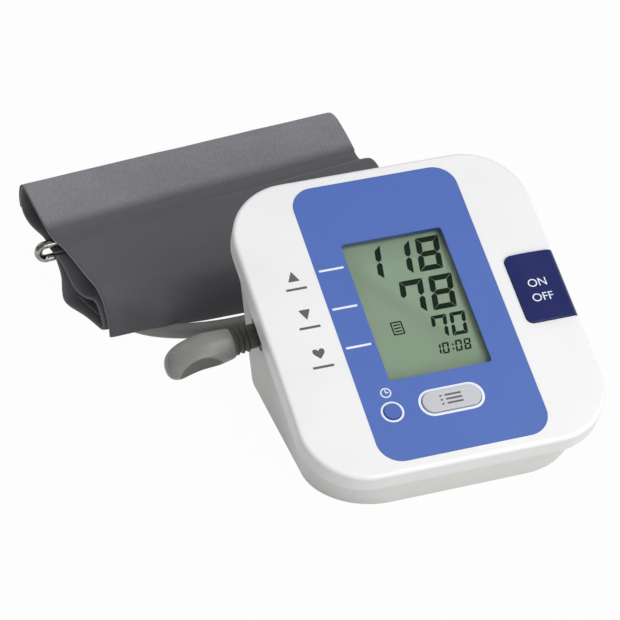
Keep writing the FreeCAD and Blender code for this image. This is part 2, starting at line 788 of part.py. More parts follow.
def build_board():
    """Main board with an ear under the start button, its screws and its chip."""
    under = -S.board_under
    main = block("board_main", "board_width", "board_length", "board_thickness", on_face(0, S.board_middle, under))
    ear = block("board_ear", "board_width + ear_width", "ear_length", "board_thickness",
                on_face(S.ear_width / 2, S.start_middle, under))
    holes = []
    screws = []
    for index, (across, up) in enumerate(board_boss_places()):
        holes.append(cylinder(f"board_hole_{index}", "board_screw_diameter + 2 * screw_gap",
                              "board_thickness + 2 * overrun", on_face(across, up, under - S.overrun)))
        shank = cylinder(f"board_shank_{index}", "board_screw_diameter", "board_screw_length",
                         on_face(across, up, under))
        head = cylinder(f"board_head_{index}", "board_screw_head", "board_screw_head_height",
                        on_face(across, up, under - S.board_screw_head_height))
        screws.append(fuse(f"board_screw_{index}", [shank, head]))
    keep(cut("main_board", fuse("board_blank", [main, ear]), holes), "main_board")
    group("board_screws", screws)
    keep(block("control_chip", "chip_side", "chip_side", "chip_height",
               on_face(0, S.board_middle, under - S.chip_height)), "control_chip")


def build_switches():
    """Tact switches on the board, one under each button's stem."""
    switches = []
    for name, across, up in button_places():
        base = block(f"{name}_switch_base", "switch_side", "switch_side", "switch_height",
                     on_face(across, up, -S.board_depth))
        plunger = cylinder(f"{name}_plunger", "plunger_diameter", "switch_height + plunger_height",
                           on_face(across, up, -S.board_depth))
        switches.append(fuse(f"{name}_switch", [base, plunger]))
    group("button_switches", switches)


def sensor_port_place():
    """Place at the root of the sensor's air port, which points to the left."""
    spot = on_face(-S.sensor_across, S.sensor_from_crease, -S.board_under - S.sensor_height / 2)
    return spot * at(0, 0, 0, Rotation(Vector(0, 1, 0), -90))


def build_sensor():
    """Pressure sensor under the board, with an air port at its left side."""
    body = block("sensor_body", "sensor_side", "sensor_side", "sensor_height",
                 on_face(-S.sensor_across, S.sensor_from_crease, -S.board_under - S.sensor_height))
    port = cylinder("sensor_port", "port_diameter", "sensor_side / 2 + port_length", sensor_port_place())
    keep(fuse("pressure_sensor", [body, port]), "pressure_sensor")


def build_case_screws():
    """Four pan-head screws, up through the posts into the cover's bosses."""
    screws = []
    for index, (x, y, height) in enumerate(post_places()):
        seat = getattr(S, height) - S.screw_seat
        head = cylinder(f"screw_head_{index}", "screw_head_diameter", "screw_head_height",
                        at(x, y, seat - S.screw_head_height))
        shank = cylinder(f"screw_shank_{index}", "screw_diameter", "screw_length", at(x, y, seat))
        screws.append(fuse(f"case_screw_{index}", [head, shank]))
    group("case_screws", screws)


def build_batteries():
    """Battery tray over the opening in the base, with its contacts and the AA cells."""
    outer = block("tray_outer", "tray_inner_width + 2 * tray_wall", "tray_length + 2 * tray_wall", "tray_height",
                  at(0, S.tray_middle, S.base_floor))
    hollow = block("tray_hollow", "tray_inner_width", "tray_length", "tray_height - tray_wall + overrun",
                   at(0, S.tray_middle, S.base_floor - S.overrun))
    keep(cut("battery_tray", outer, [hollow]), "battery_tray")
    cells = []
    contacts = []
    for index in range(CELL_COUNT):
        x = (index - (CELL_COUNT - 1) / 2) * S.cell_pitch
        cells.append(battery_cell(index, x))
        for end in (-1, 1):
            contacts.append(battery_contact(f"{index}_{end + 1}", end, x))
    group("batteries", cells)
    group("battery_contacts", contacts)


def battery_cell(index, x):
    """One AA cell along Y; every other one is turned end for end."""
    flip = 1 if index % 2 == 0 else -1
    turn = Rotation(Vector(1, 0, 0), 90 * flip)
    start = at(x, S.tray_middle, S.cell_height, turn) * at(0, 0, -(S.cell_length + S.cell_nub_height) / 2)
    can = cylinder(f"cell_can_{index}", "cell_diameter", "cell_length", start)
    nub = cylinder(f"cell_nub_{index}", "cell_nub_diameter", "cell_length + cell_nub_height", start)
    return fuse(f"cell_{index}", [can, nub])


def battery_contact(label, end, x):
    """One contact plate on the tray's end wall, with a bump towards the cell."""
    y = S.tray_middle + end * (S.tray_length - S.contact_thickness) / 2
    plate = block(f"contact_plate_{label}", "contact_side", "contact_thickness", "contact_side",
                  at(x, y, S.cell_height - S.contact_side / 2))
    bump = cylinder(f"contact_bump_{label}", "contact_bump_diameter", "contact_thickness / 2 + contact_bump",
                    at(x, y, S.cell_height, Rotation(Vector(1, 0, 0), 90 * end)))
    return fuse(f"contact_{label}", [plate, bump])


def build_battery_door():
    """Battery door: a slab with side tongues over the base's ledges and grip grooves underneath."""
    top = "base_floor - screw_gap"
    slab = block("door_slab", "door_width", "door_length", f"{top} - door_lift", at(0, S.door_middle, S.door_lift))
    tongues = block("door_tongues", "door_width + 2 * door_tongue", "door_length",
                    f"{top} - door_ledge - door_gap", at(0, S.door_middle, S.door_ledge + S.door_gap))
    grooves = []
    for index in range(GROOVE_COUNT):
        y = S.base_length / 2 - S.door_groove_from_rear - index * S.door_groove_pitch
        grooves.append(block(f"grip_groove_{index}", "door_groove_length", "door_groove_width",
                             "door_groove_depth + overrun", at(0, y, S.door_lift - S.overrun)))
    keep(cut("battery_door", fuse("door_blank", [slab, tongues]), grooves), "battery_door")


def head_port_place(out=0):
    """Place on the pump head's air port, pointing to the left, at a distance from the head's face."""
    z = socket_place(S.joint_inside + S.joint_side / 2).Base.z
    x = S.pump_across - S.head_length - out
    y = S.pump_from_middle - S.head_port_forward
    return at(x, y, z, Rotation(Vector(0, 1, 0), -90))


def valve_port_place(out=0):
    """Place on the exhaust valve's air port, pointing to the left."""
    x = S.valve_across - S.valve_width / 2 - out
    z = S.tray_top + S.valve_port_height
    return at(x, S.valve_from_middle, z, Rotation(Vector(0, 1, 0), -90))


def build_pump():
    """Air pump lying on a rubber cradle over the battery tray, and the exhaust valve in front of it."""
    along_x = Rotation(Vector(0, 1, 0), 90)
    x = S.pump_across
    y = S.pump_from_middle
    z = S.pump_height
    keep(cylinder("pump_motor", "motor_diameter", "motor_length", at(x, y, z, along_x)), "pump_motor")
    head = cylinder("head_body", "head_diameter", "head_length", at(x - S.head_length, y, z, along_x))
    port = cylinder("head_port", "port_diameter", "port_length + overrun", head_port_place(-S.overrun))
    keep(fuse("pump_head", [head, port]), "pump_head")
    saddle = block("cradle_blank", "cradle_length", "cradle_width", "cradle_height", at(x, y, S.tray_top))
    bed = cylinder("cradle_bed", "head_diameter + 2 * pump_gap", "cradle_length + 2 * overrun",
                   at(x - S.cradle_length / 2 - S.overrun, y, z, along_x))
    keep(cut("pump_cradle", saddle, [bed]), "pump_cradle")
    valve = block("valve_body", "valve_width", "valve_length", "valve_height",
                  at(S.valve_across, S.valve_from_middle, S.tray_top))
    port = cylinder("valve_port", "port_diameter", "port_length + overrun", valve_port_place(-S.overrun))
    keep(fuse("exhaust_valve", [valve, port]), "exhaust_valve")


def build_air_socket():
    """Air socket through the left wall, with a flange inside, a bore for the plug and a barb."""
    body = cylinder("socket_body", "socket_diameter", "socket_length", socket_place(S.socket_length))
    flange = cylinder("socket_ring", "socket_flange", "socket_flange_thickness",
                      socket_place(S.socket_seat + S.socket_flange_thickness))
    barb = cylinder("socket_barb", "port_diameter", "port_length + overrun", socket_place(S.joint_inside))
    bore = cylinder("socket_room", "socket_bore", "pin_length + screw_gap + overrun",
                    socket_place(S.pin_length + S.screw_gap))
    keep(cut("air_socket", fuse("socket_blank", [body, flange, barb]), [bore]), "air_socket")


def build_air_joint():
    """Air joint on the socket's barb, and the inner tubes from it to the pump, sensor and valve."""
    start = socket_place(S.joint_inside + S.joint_side)
    keep(block("air_joint", "joint_side", "joint_side", "joint_side", start), "air_joint")
    middle = (start * at(0, 0, S.joint_side / 2)).Base
    half = Vector(0, S.joint_side / 2, 0)
    pump = head_port_place(S.port_length).Base
    sensor = (sensor_port_place() * at(0, 0, S.sensor_side / 2 + S.port_length)).Base
    valve = valve_port_place(S.port_length).Base
    inner = start.Base
    third = (valve.x - inner.x) / 3
    front = middle - half
    routes = [
        [middle + half, Vector(middle.x, pump.y, pump.z), pump],
        [front, Vector(middle.x, (front.y + sensor.y) / 2, middle.z), Vector(middle.x, sensor.y, sensor.z), sensor],
        [inner, (start * at(0, 0, -third)).Base, Vector(valve.x - third, valve.y, valve.z), valve],
    ]
    tubes = [shaped(f"air_tube_{index}", piped(route, S.port_diameter)) for index, route in enumerate(routes)]
    group("air_tubes", tubes)


def build_air_plug():
    """Air plug: a pin in the socket, a collar, soft ribs, a tapering grip with a scoop, and the hose's outlet."""
    body = doc.addObject("PartDesign::Body", "plug_turned")
    sketch = sketch_in(body, "plug_profile", "XZ_Plane")
    for edge in plug_profile_edges():
        sketch.addGeometry(edge, False)
    turned = body.newObject("PartDesign::Revolution", "plug_revolution")
    turned.Profile = sketch
    turned.ReferenceAxis = (sketch, ["V_Axis"])
    turned.Angle = 360
    body.Placement = socket_place()
    outlet = cylinder("plug_outlet", "outlet_diameter", "outlet_reach", outlet_place())
    facing = Rotation(Vector(0, 0, 1), SCOOP_TURN) * Rotation(Vector(0, 1, 0), 90)
    reach = S.grip_diameter / 2 - S.scoop_depth + S.scoop_radius
    spot = socket_place() * at(0, 0, S.scoop_from_wall) * at(0, 0, 0, facing)
    across = at(0, -S.grip_diameter, reach, Rotation(Vector(1, 0, 0), -90))
    scoop = cylinder("plug_scoop", "2 * scoop_radius", "2 * grip_diameter", spot * across)
    keep(cut("air_plug", fuse("plug_blank", [body, outlet]), [scoop]), "air_plug")


def plug_profile_edges():
    """Half section of the plug: radius across, distance out of the case wall upwards."""
    grip = S.grip_diameter / 2
    core = S.rib_core_diameter / 2
    points = [(0, -S.pin_length), (S.pin_diameter / 2, -S.pin_length), (S.pin_diameter / 2, 0),
              (S.collar_diameter / 2, 0), (S.collar_diameter / 2, S.collar_length)]
    for index in range(RIB_COUNT):
        start = S.collar_length + (index + 1) * S.rib_pitch - S.rib_length
        rib_start = start - (S.rib_pitch - S.rib_length)
        points += [(core, rib_start), (core, start), (S.rib_diameter / 2, start),
                   (S.rib_diameter / 2, start + S.rib_length)]
    points += [(S.grip_root_diameter / 2, S.grip_from_wall), (grip, S.grip_from_wall + S.grip_taper),
               (grip, S.plug_length - grip)]
    corners = [Vector(x, y, 0) for x, y in points]
    tip = Vector(0, S.plug_length, 0)
    middle = Vector(grip * sin(radians(45)), S.plug_length - grip * (1 - cos(radians(45))), 0)
    edges = [Part.LineSegment(first, second) for first, second in zip(corners, corners[1:])]
    return edges + [Part.Arc(corners[-1], middle, tip), Part.LineSegment(tip, corners[0])]


def outlet_place():
    """Place on the plug's axis from which the hose's outlet points back and down."""
    turn = Rotation(Vector(0, 0, 1), Vector(*OUTLET_WAY))
    return Placement((socket_place() * at(0, 0, S.outlet_from_wall)).Base, turn)


def rounded_path(points):
    """Join points with straight runs and tangent arcs as large as the runs allow; give the arcs' radii too."""
    edges = []
    radii = []
    last = points[0]
    for before, point, after in zip(points, points[1:], points[2:]):
        back = (before - point).normalize()
        ahead = (after - point).normalize()
        turn = (point - before).getAngle(after - point)
        reach = RUN_SHARE * min((before - point).Length, (after - point).Length)
        radius = reach / tan(turn / 2)
        start = point + back * reach
        end = point + ahead * reach
        middle = point + (back + ahead).normalize() * (radius / cos(turn / 2) - radius)
        edges.append(Part.LineSegment(last, start).toShape())
        edges.append(Part.Arc(start, middle, end).toShape())
        radii.append(radius)
        last = end
    edges.append(Part.LineSegment(last, points[-1]).toShape())
    return Part.Wire(edges), radii


def piped(points, diameter):
    """Sweep a round section along a rounded path."""
    path, radii = rounded_path(points)
    section = Part.Wire(Part.makeCircle(diameter / 2, points[0], points[1] - points[0]))
    return path.makePipeShell([section], True, False)


def hose_points():
    """Give the hose's route, which starts at the plug's outlet."""
    start = outlet_place() * at(0, 0, S.outlet_reach)
    ahead = start * at(0, 0, S.hose_first_run)
    return [start.Base, ahead.Base] + [Vector(*point) for point in HOSE_ROUTE]


def build_hose():
    """Air hose from the plug to the cuff, with a check of its bends, its volume and its gap to itself."""
    points = hose_points()
    tube = piped(points, S.hose_diameter)
    keep(shaped("hose", tube), "hose")
    path, radii = rounded_path(points)
    print("hose length", round(path.Length, 1), "least bend in diameters", round(min(radii) / S.hose_diameter, 2))
    print("hose bends in diameters", [round(radius / S.hose_diameter, 1) for radius in radii])
    disc = Part.Face(Part.Wire(Part.makeCircle(S.hose_diameter / 2)))
    print("hose volume share", round(tube.Volume / (disc.Area * path.Length), 4))
    spots = path.discretize(Distance=S.hose_diameter / 4)
    skip = 24
    pairs = ((i, j) for i in range(len(spots)) for j in range(i + skip, len(spots)))
    least = min((spots[i] - spots[j]).Length for i, j in pairs)
    print("hose least gap to itself", round(least - S.hose_diameter, 2))


def nozzle_place():
    """Place at the hose's far end, along its last run."""
    points = hose_points()
    return Placement(points[-1], Rotation(Vector(0, 0, 1), points[-1] - points[-2]))


def build_cuff_nozzle():
    """Nozzle in which the hose ends under the cuff's front edge."""
    keep(cylinder("cuff_nozzle", "nozzle_diameter", "nozzle_length", nozzle_place()), "cuff_nozzle")


def nozzle_room(owner):
    """Room in the cuff's layers for the end of the hose and its nozzle."""
    return cylinder(owner + "_nozzle_room", "nozzle_diameter + 2 * soft_gap",
                    "nozzle_room_back + nozzle_length + soft_gap",
                    nozzle_place() * at(0, 0, -S.nozzle_room_back))


def cuff_point(end, reach, height, inset=0):
    """Give a point of one of the cuff's slanted end planes, moved inwards along the cuff's width."""
    slant = radians(S.cuff_end_slant)
    x = inset - S.cuff_left if end == "left" else S.cuff_width - S.cuff_left - inset
    return Vector(x - reach * sin(slant), S.cuff_front + reach * cos(slant), height)


def rounded_loop(corners, rounds):
    """Close a polygon with straight sides and tangent arcs; a round of zero leaves a sharp corner."""
    starts = []
    arcs = []
    ends = []
    count = len(corners)
    for index, corner in enumerate(corners):
        before = corners[index - 1]
        after = corners[(index + 1) % count]
        back = (before - corner).normalize()
        ahead = (after - corner).normalize()
        turn = (corner - before).getAngle(after - corner)
        reach = rounds[index] * tan(turn / 2)
        starts.append(corner + back * reach)
        ends.append(corner + ahead * reach)
        if rounds[index]:
            middle = corner + (back + ahead).normalize() * (rounds[index] / cos(turn / 2) - rounds[index])
            arcs.append(Part.Arc(starts[-1], middle, ends[-1]).toShape())
        else:
            arcs.append(None)
    edges = []
    for index in range(count):
        if arcs[index]:
            edges.append(arcs[index])
        edges.append(Part.LineSegment(ends[index], starts[(index + 1) % count]).toShape())
    return Part.Wire(edges)


def band_outline(points, rounds, thickness):
    """Turn a middle line of reach and height into the outline of a band of even thickness."""
    half = thickness / 2
    spots = [Vector(reach, height, 0) for reach, height in points]
    ways = [(after - before).normalize() for before, after in zip(spots, spots[1:])]
    sides = [Vector(-way.y, way.x, 0) for way in ways]
    first = []
    second = []
    for index, spot in enumerate(spots):
        before = sides[max(index - 1, 0)]
        after = sides[min(index, len(sides) - 1)]
        shift = (before + after) * (half / (1 + before.dot(after)))
        turn = before.x * after.y - before.y * after.x
        lean = half if turn < 0 else -half
        round_here = rounds[index]
        first.append((spot + shift, round_here + lean if round_here else 0))
        second.append((spot - shift, round_here - lean if round_here else 0))
    outline = first + second[::-1]
    return [corner for corner, size in outline], [size for corner, size in outline]


def cuff_loft(outlines, rounds, inset=0):
    """Join one outline in the left end plane with its fellow in the right end plane."""
    wires = []
    for end in ("left", "right"):
        corners = [cuff_point(end, spot.x, spot.y, inset) for spot in outlines[end]]
        wires.append(rounded_loop(corners, rounds[end]))
    return Part.makeLoft(wires, True, True)


def end_size(name, end):
    """Give a size that differs between the cuff's two ends."""
    return getattr(S, f"{name}_{end}")


def build_cuff_flap():
    """Cuff's outer layer: up from the table over the front, a lobe at the rear, and back through the ring."""
    outlines = {}
    rounds = {}
    for end in ("left", "right"):
        line = [
            (S.foot_reach, S.foot_height),
            (S.knee_reach, end_size("knee", end)),
            (S.ridge_reach, end_size("ridge", end)),
            (S.crease_reach, end_size("crease", end)),
            (S.lobe_top_reach, end_size("lobe_top", end)),
            (S.lobe_back_reach, end_size("lobe_back", end)),
            (S.lobe_under_reach, end_size("lobe_under", end)),
            (S.tongue_reach, end_size("tongue", end)),
        ]
        bends = [0, S.knee_round, S.ridge_round, S.crease_round, S.lobe_top_round, S.lobe_back_round,
                 S.lobe_under_round, 0]
        outlines[end], rounds[end] = band_outline(line, bends, S.flap_thickness)
    flap = shaped("flap_band", cuff_loft(outlines, rounds))
    keep(cut("cuff_flap", flap, [nozzle_room("flap")]), "cuff_flap")


def inset_corners(corners, wall):
    """Move a polygon's sides inwards by a wall's thickness; the corners run counter-clockwise."""
    inner = []
    count = len(corners)
    for index, corner in enumerate(corners):
        way_in = (corner - corners[index - 1]).normalize()
        way_out = (corners[(index + 1) % count] - corner).normalize()
        first = Vector(-way_in.y, way_in.x, 0)
        second = Vector(-way_out.y, way_out.x, 0)
        inner.append(corner + (first + second) * (wall / (1 + first.dot(second))))
    return inner


def build_cuff_arm_loop():
    """Cuff's inner layer: a loop with a sagging upper side, which opens for the arm."""
    outer = {}
    inner = {}
    skin = S.loop_thickness
    for end in ("left", "right"):
        outer[end] = [
            Vector(S.loop_front_reach, 0, 0),
            Vector(S.loop_rear_reach, 0, 0),
            Vector(S.loop_tip_reach, end_size("loop_tip", end), 0),
            Vector(S.loop_dip_reach, end_size("loop_dip", end), 0),
            Vector(S.loop_shoulder_reach, end_size("loop_shoulder", end), 0),
        ]
        inner[end] = inset_corners(outer[end], skin)
    bends = [S.loop_round, S.loop_round, S.loop_tip_round, S.loop_dip_round, S.loop_round]
    fold = S.loop_round - skin
    inner_bends = [fold, fold, S.loop_tip_round - skin, S.loop_dip_round + skin, fold]
    outside = shaped("loop_outside", cuff_loft(outer, {"left": bends, "right": bends}))
    inside = shaped("loop_inside", cuff_loft(inner, {"left": inner_bends, "right": inner_bends}, -S.overrun))
    keep(cut("cuff_arm_loop", outside, [inside, nozzle_room("loop")]), "cuff_arm_loop")


def cuff_slab(bottom, thickness, inset, from_fold):
    """Flat slab on the floor of the arm loop."""
    front = S.loop_front_reach + from_fold
    rear = S.loop_rear_reach - from_fold
    top = bottom + thickness
    outline = [Vector(front, bottom, 0), Vector(rear, bottom, 0), Vector(rear, top, 0), Vector(front, top, 0)]
    return cuff_loft({"left": outline, "right": outline}, {"left": [0] * 4, "right": [0] * 4}, inset)


def build_cuff_inside():
    """Air bladder on the floor of the arm loop and the lining over it."""
    bladder = cuff_slab(S.loop_floor, S.bladder_thickness, S.bladder_from_end, S.bladder_from_fold)
    keep(shaped("air_bladder", bladder), "air_bladder")
    lining = cuff_slab(S.loop_floor + S.bladder_thickness, S.lining_thickness, S.lining_from_end,
                       S.bladder_from_fold)
    keep(shaped("cuff_lining", lining), "cuff_lining")


def build_d_ring():
    """Long wire ring at the rear of the cuff, through which the outer layer turns back."""
    left = cuff_point("left", S.ring_reach, S.ring_middle_left)
    right = cuff_point("right", S.ring_reach, S.ring_middle_right)
    way = (right - left).normalize()
    up = Vector(-way.z, 0, way.x)
    half = S.ring_half_gap
    start = left - way * (S.ring_past_left - half)
    end = right + way * (S.ring_past_right - half)
    lean = (up + way) * sin(radians(45)) * half
    drop = (way - up) * sin(radians(45)) * half
    edges = [
        Part.LineSegment(start + up * half, end + up * half),
        Part.Arc(end + up * half, end + lean, end + way * half),
        Part.Arc(end + way * half, end + drop, end - up * half),
        Part.LineSegment(end - up * half, start - up * half),
        Part.Arc(start - up * half, start - lean, start - way * half),
        Part.Arc(start - way * half, start - drop, start + up * half),
    ]
    path = Part.Wire([edge.toShape() for edge in edges])
    section = Part.Wire(Part.makeCircle(S.ring_wire / 2, start + up * half, way))
    keep(shaped("d_ring", path.makePipeShell([section], True, False)), "d_ring")


for build in (
    build_bottom_case,
    build_top_cover,
    build_face_panel,
    build_display,
    build_start_button,
    build_small_buttons,
    build_board,
    build_switches,
    build_sensor,
    build_case_screws,
    build_batteries,
    build_battery_door,
    build_pump,
    build_air_socket,
    build_air_joint,
    build_air_plug,
    build_hose,
    build_cuff_nozzle,
    build_cuff_flap,
    build_cuff_arm_loop,
    build_cuff_inside,
    build_d_ring,
):
    build()
doc.recompute()

failed = [item.Name for item in doc.Objects if "Invalid" in item.State or "Error" in item.State]
broken = [item.Label for item in pieces if item.Shape.isNull() or not item.Shape.isValid()]
if failed or broken:
    raise RuntimeError(f"failed objects: {failed}, broken shapes: {broken}")
os.makedirs("parts", exist_ok=True)
for item in pieces:
    item.Shape.exportStep(f"parts/{item.Label}.step")
    print(item.Label, len(item.Shape.Solids), round(item.Shape.Volume, 1))
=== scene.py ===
"""Looks of a desk blood pressure monitor: case, face, display, air hose and folded cuff.

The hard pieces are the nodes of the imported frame, and every other piece is built in that frame, in metres.
"""

import logging
import math
from dataclasses import dataclass, field
from enum import Enum
from typing import Any, Sequence

import bmesh
import bpy
from mathutils import Matrix, Vector, noise
from mathutils.bvhtree import BVHTree


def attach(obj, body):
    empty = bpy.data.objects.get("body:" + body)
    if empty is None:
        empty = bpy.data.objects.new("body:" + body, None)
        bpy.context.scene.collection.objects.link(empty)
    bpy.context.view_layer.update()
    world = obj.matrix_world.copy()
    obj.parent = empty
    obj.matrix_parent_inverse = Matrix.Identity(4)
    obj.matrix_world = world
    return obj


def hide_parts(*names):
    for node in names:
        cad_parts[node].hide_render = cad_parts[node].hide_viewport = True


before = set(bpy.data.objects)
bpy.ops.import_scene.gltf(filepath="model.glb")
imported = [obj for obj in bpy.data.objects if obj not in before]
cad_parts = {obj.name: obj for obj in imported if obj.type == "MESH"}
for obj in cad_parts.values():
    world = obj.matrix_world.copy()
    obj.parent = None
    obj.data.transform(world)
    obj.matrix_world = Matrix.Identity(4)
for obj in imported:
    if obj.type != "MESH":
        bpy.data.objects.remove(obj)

LOG = logging.getLogger("monitor_scene")
MM = 0.001
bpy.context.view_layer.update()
WHITE = "#FFFFFF"

# Order of the smooth line through the points of a section or a route
CURVE_ORDER = 3

# Blender's count of steps between two points of a section
SECTION_STEPS = 5

# Radians that a band wave goes through in one unit of its coordinate
WAVE_TURN = 20.0


class Body(Enum):
    """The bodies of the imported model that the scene's own pieces ride on."""

    CASE = "case"
    START_KEY = "start_key"
    MEMORY_KEY = "memory_key"


class Relief(Enum):
    """Kinds of fine surface relief that a finish may have."""

    GRAIN = "grain"
    WEAVE = "weave"
    PILE = "pile"


def linear(code: str) -> tuple[float, float, float, float]:
    """Turn an sRGB hex colour into linear values.

    Args:
        code: The colour as six hex digits with a leading mark.

    Returns:
        Red, green, blue and an alpha of 1.
    """
    values = []
    for start in (1, 3, 5):
        level = int(code[start:start + 2], 16) / 255
        low = level / 12.92
        high = ((level + 0.055) / 1.055) ** 2.4
        values.append(low if level <= 0.04045 else high)
    return values[0], values[1], values[2], 1.0


def add_node(tree: bpy.types.NodeTree, kind: str, inputs: dict[Any, Any], **settings: Any) -> bpy.types.Node:
    """Add a shader node with its settings and links.

    Args:
        tree: The material's node tree.
        kind: Blender's name for the node type.
        inputs: Values or other nodes' sockets by the name or number of the input.
        settings: Properties of the node itself.

    Returns:
        The new node.
    """
    node = tree.nodes.new(kind)
    for name, value in settings.items():
        setattr(node, name, value)
    for name, value in inputs.items():
        if isinstance(value, bpy.types.NodeSocket):
            tree.links.new(value, node.inputs[name])
        else:
            node.inputs[name].default_value = value
    return node


def per_metre(size: float) -> float:
    """Noise scale for features of a size in millimetres."""
    return 1 / (size * MM)


def wave_scale(pitch: float) -> float:
    """Scale of a band wave whose lines stand at a pitch in millimetres."""
    return math.tau / (WAVE_TURN * pitch * MM)


@dataclass(frozen=True)
class FaceFrame:
    """The sloping face's own axes: across it, up the slope and out of it. Lengths are in millimetres."""

    tilt: float = math.radians(23.9)
    foot: tuple[float, float, float] = (0.0, -75.3, 25.9)

    def place(self, across: float = 0.0, up: float = 0.0, out: float = 0.0) -> Matrix:
        """Place on the face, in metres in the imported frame.

        Args:
            across: Distance to the right of the middle.
            up: Distance up the slope from the front edge.
            out: Distance out of the face.

        Returns:
            The place with the face's axes.
        """
        turn = Matrix.Rotation(self.tilt, 4, "X")
        spot = Vector(self.foot) + turn @ Vector((across, up, out))
        return Matrix.Translation(spot * MM) @ turn


@dataclass(frozen=True)
class Zone:
    """A box on a piece where its colour changes, such as painted shade on a recess's walls. Lengths are in
    millimetres.
    """

    middle: tuple[float, float, float]
    turn: tuple[float, float, float]
    half: tuple[float, float, float]
    colour: str

    def tint(self, tree: bpy.types.NodeTree, place: bpy.types.NodeSocket,
             colour: bpy.types.NodeSocket) -> bpy.types.NodeSocket:
        """Lay this zone's colour over a piece's own.

        Args:
            tree: The material's node tree.
            place: Places on the piece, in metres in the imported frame.
            colour: The piece's own colour.

        Returns:
            The colour with the zone laid over it.
        """
        inside = add_node(tree, "ShaderNodeMapping", {
            "Vector": place,
            "Location": Vector(self.middle) * MM,
            "Rotation": self.turn,
            "Scale": Vector(self.half) * MM,
        }, vector_type="TEXTURE")
        size = add_node(tree, "ShaderNodeVectorMath", {0: inside.outputs["Vector"]}, operation="ABSOLUTE")
        parts = add_node(tree, "ShaderNodeSeparateXYZ", {"Vector": size.outputs["Vector"]})
        flat = add_node(tree, "ShaderNodeMath", {0: parts.outputs["X"], 1: parts.outputs["Y"]},
                        operation="MAXIMUM")
        most = add_node(tree, "ShaderNodeMath", {0: flat.outputs["Value"], 1: parts.outputs["Z"]},
                        operation="MAXIMUM")
        share = add_node(tree, "ShaderNodeMath", {0: most.outputs["Value"], 1: 1.0}, operation="LESS_THAN")
        mix = add_node(tree, "ShaderNodeMix", {0: share.outputs["Value"], 6: colour, 7: linear(self.colour)},
                       data_type="RGBA")
        return mix.outputs[2]


FACE = FaceFrame()

# Painted shade: dark blue laid on the sides of the display's opening, where the recess walls lie in shade
RECESS_PAINTED_SHADE = Zone(
    middle=tuple(FACE.place(up=75.1, out=-1.23).translation / MM),
    turn=(FACE.tilt, 0.0, 0.0),
    half=(22.65, 34.1, 1.17),
    colour="#2C3F70",
)


